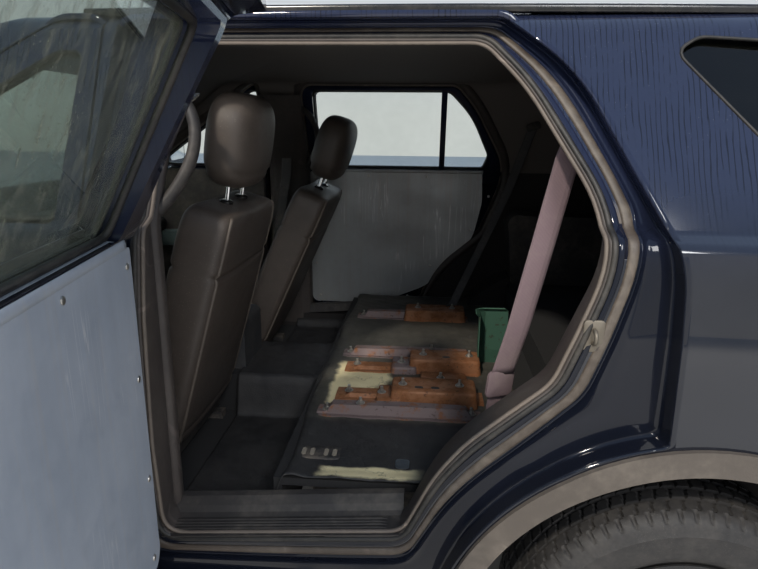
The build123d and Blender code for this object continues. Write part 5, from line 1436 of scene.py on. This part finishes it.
# %% Outer trim
quarter = [(1.640, 1.296, 0.09), (2.120, 1.300, 0.06), (2.010, 1.606, 0.09), (1.400, 1.648, 0.05),
           (1.352, 1.618, 0.04)]
quarter_ring = spaced(rounded(quarter, 10), 0.010)
roof_line = np.array([(0.10, 0.672, 1.704), (0.60, 0.676, 1.708), (1.20, 0.674, 1.708), (1.80, 0.664, 1.700),
                      (2.15, 0.650, 1.684)])
roof_profile = rounded([(-0.013, -0.006, 0.004), (0.013, -0.006, 0.004), (0.013, 0.012, 0.008),
                        (-0.013, 0.012, 0.008)], 5)
mirror_ring = spaced(rounded([(-1, -0.9, 0.3), (1, -0.8, 0.3), (1, 0.9, 0.3), (-1, 0.95, 0.3)], 8), 0.08)
mirror_rows = ((-0.010, 1.0), (0.001, 1.0), (0.002, 0.96), (0.002, 0.02))     # depth, size
for side, word in sides:
    path = np.stack([quarter_ring[:, 0], side * (skin_half(quarter_ring[:, 1]) - 0.001),
                     quarter_ring[:, 1]], -1)
    swept("quarter_seal_" + word, path, ring_profile(0.0035, 10, 1.3), seal_rubber, "body")
    swept("roof_strip_" + word, smoothed(roof_line * (1, side, 1), 0.03), roof_profile, gloss_black, "body",
          closed=False, up=(0, 0, 1))
    low, high = (np.array(corner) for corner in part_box("mirror_" + word))
    middle, half = (low + high) / 2, (high - low) / 2
    grid = [np.c_[np.full(len(mirror_ring), high[0] + deep),
                  middle[1] + side * 0.025 + mirror_ring[:, 0] * size * half[1] * 0.62,
                  middle[2] + 0.010 + mirror_ring[:, 1] * size * half[2] * 0.70]
            for deep, size in mirror_rows]
    lofted("mirror_glass_" + word, grid, mirror_silver, "front_door_" + word, crease=40)
print("outer trim", 3 * len(sides))

# %% [markdown]
# The stage is a pale floor under a pale sky. The sky is a gradient, a little
# lighter low down, as an open yard gives. A warm key from the left and in front
# stands in for the sun, and two broad lamps round off the rest.

# %% Floor, world and lamps
def floor_finish():
    f = Finish("floor_pale")
    tone = f.noise(0.8, 3, 0.5)
    return f.set(Base_Color=f.mix(tone, (0.68, 0.65, 0.60), (0.74, 0.71, 0.66)), Roughness=0.8 + tone * 0.1)


reach = 30                              # metres from the middle to the floor's edge
stage = bpy.data.meshes.new("floor")
stage.from_pydata([(-reach, -reach, 0), (reach, -reach, 0), (reach, reach, 0), (-reach, reach, 0)], [],
                  [(0, 1, 2, 3)])
stage.materials.append(floor_finish())
floor = bpy.data.objects.new("floor", stage)
bpy.context.scene.collection.objects.link(floor)

world = bpy.data.worlds.new("sky")
world.use_nodes = True
bpy.context.scene.world = world
sky = world.node_tree
where = sky.nodes.new("ShaderNodeTexCoord")
split = sky.nodes.new("ShaderNodeSeparateXYZ")
ramp = sky.nodes.new("ShaderNodeValToRGB")
ramp.color_ramp.elements[0].position, ramp.color_ramp.elements[1].position = 0.02, 0.60
ramp.color_ramp.elements[0].color = (0.92, 0.92, 0.90, 1)
ramp.color_ramp.elements[1].color = (0.42, 0.56, 0.80, 1)
sky.links.new(where.outputs["Generated"], split.inputs[0])
sky.links.new(split.outputs["Z"], ramp.inputs[0])
sky.links.new(ramp.outputs[0], sky.nodes["Background"].inputs["Color"])
sky.nodes["Background"].inputs["Strength"].default_value = 0.80


def lamp(name, at, towards, size, power, colour=(1, 1, 1)):
    """Square area lamp of that size in metres, aimed at a point."""
    data = bpy.data.lights.new(name, "AREA")
    data.shape = "RECTANGLE"
    data.size, data.size_y = size
    data.energy = power
    data.color = colour
    obj = bpy.data.objects.new(name, data)
    back = np.asarray(at, float) - np.asarray(towards, float)
    back /= np.linalg.norm(back)
    right = np.cross((0, 0, 1), back)
    right /= np.linalg.norm(right)
    matrix = np.eye(4)
    matrix[:3, 0], matrix[:3, 1], matrix[:3, 2], matrix[:3, 3] = right, np.cross(back, right), back, at
    obj.matrix_world = Matrix(matrix.tolist())
    bpy.context.scene.collection.objects.link(obj)
    return obj


# name, place, target, size in metres, watts, colour
lamp("key", (-3.6, -11.9, 12.4), (0.65, -0.25, 0.65), (1.0, 1.0), 2000, (1.0, 0.92, 0.80))
lamp("fill", (4.0, -9.0, 7.0), (0.5, 0.0, 0.8), (3.0, 3.0), 440)
lamp("rear", (4.0, 9.0, 8.0), (0.0, 0.0, 0.8), (4.0, 3.0), 200)

bpy.context.scene.view_settings.view_transform = "Standard"
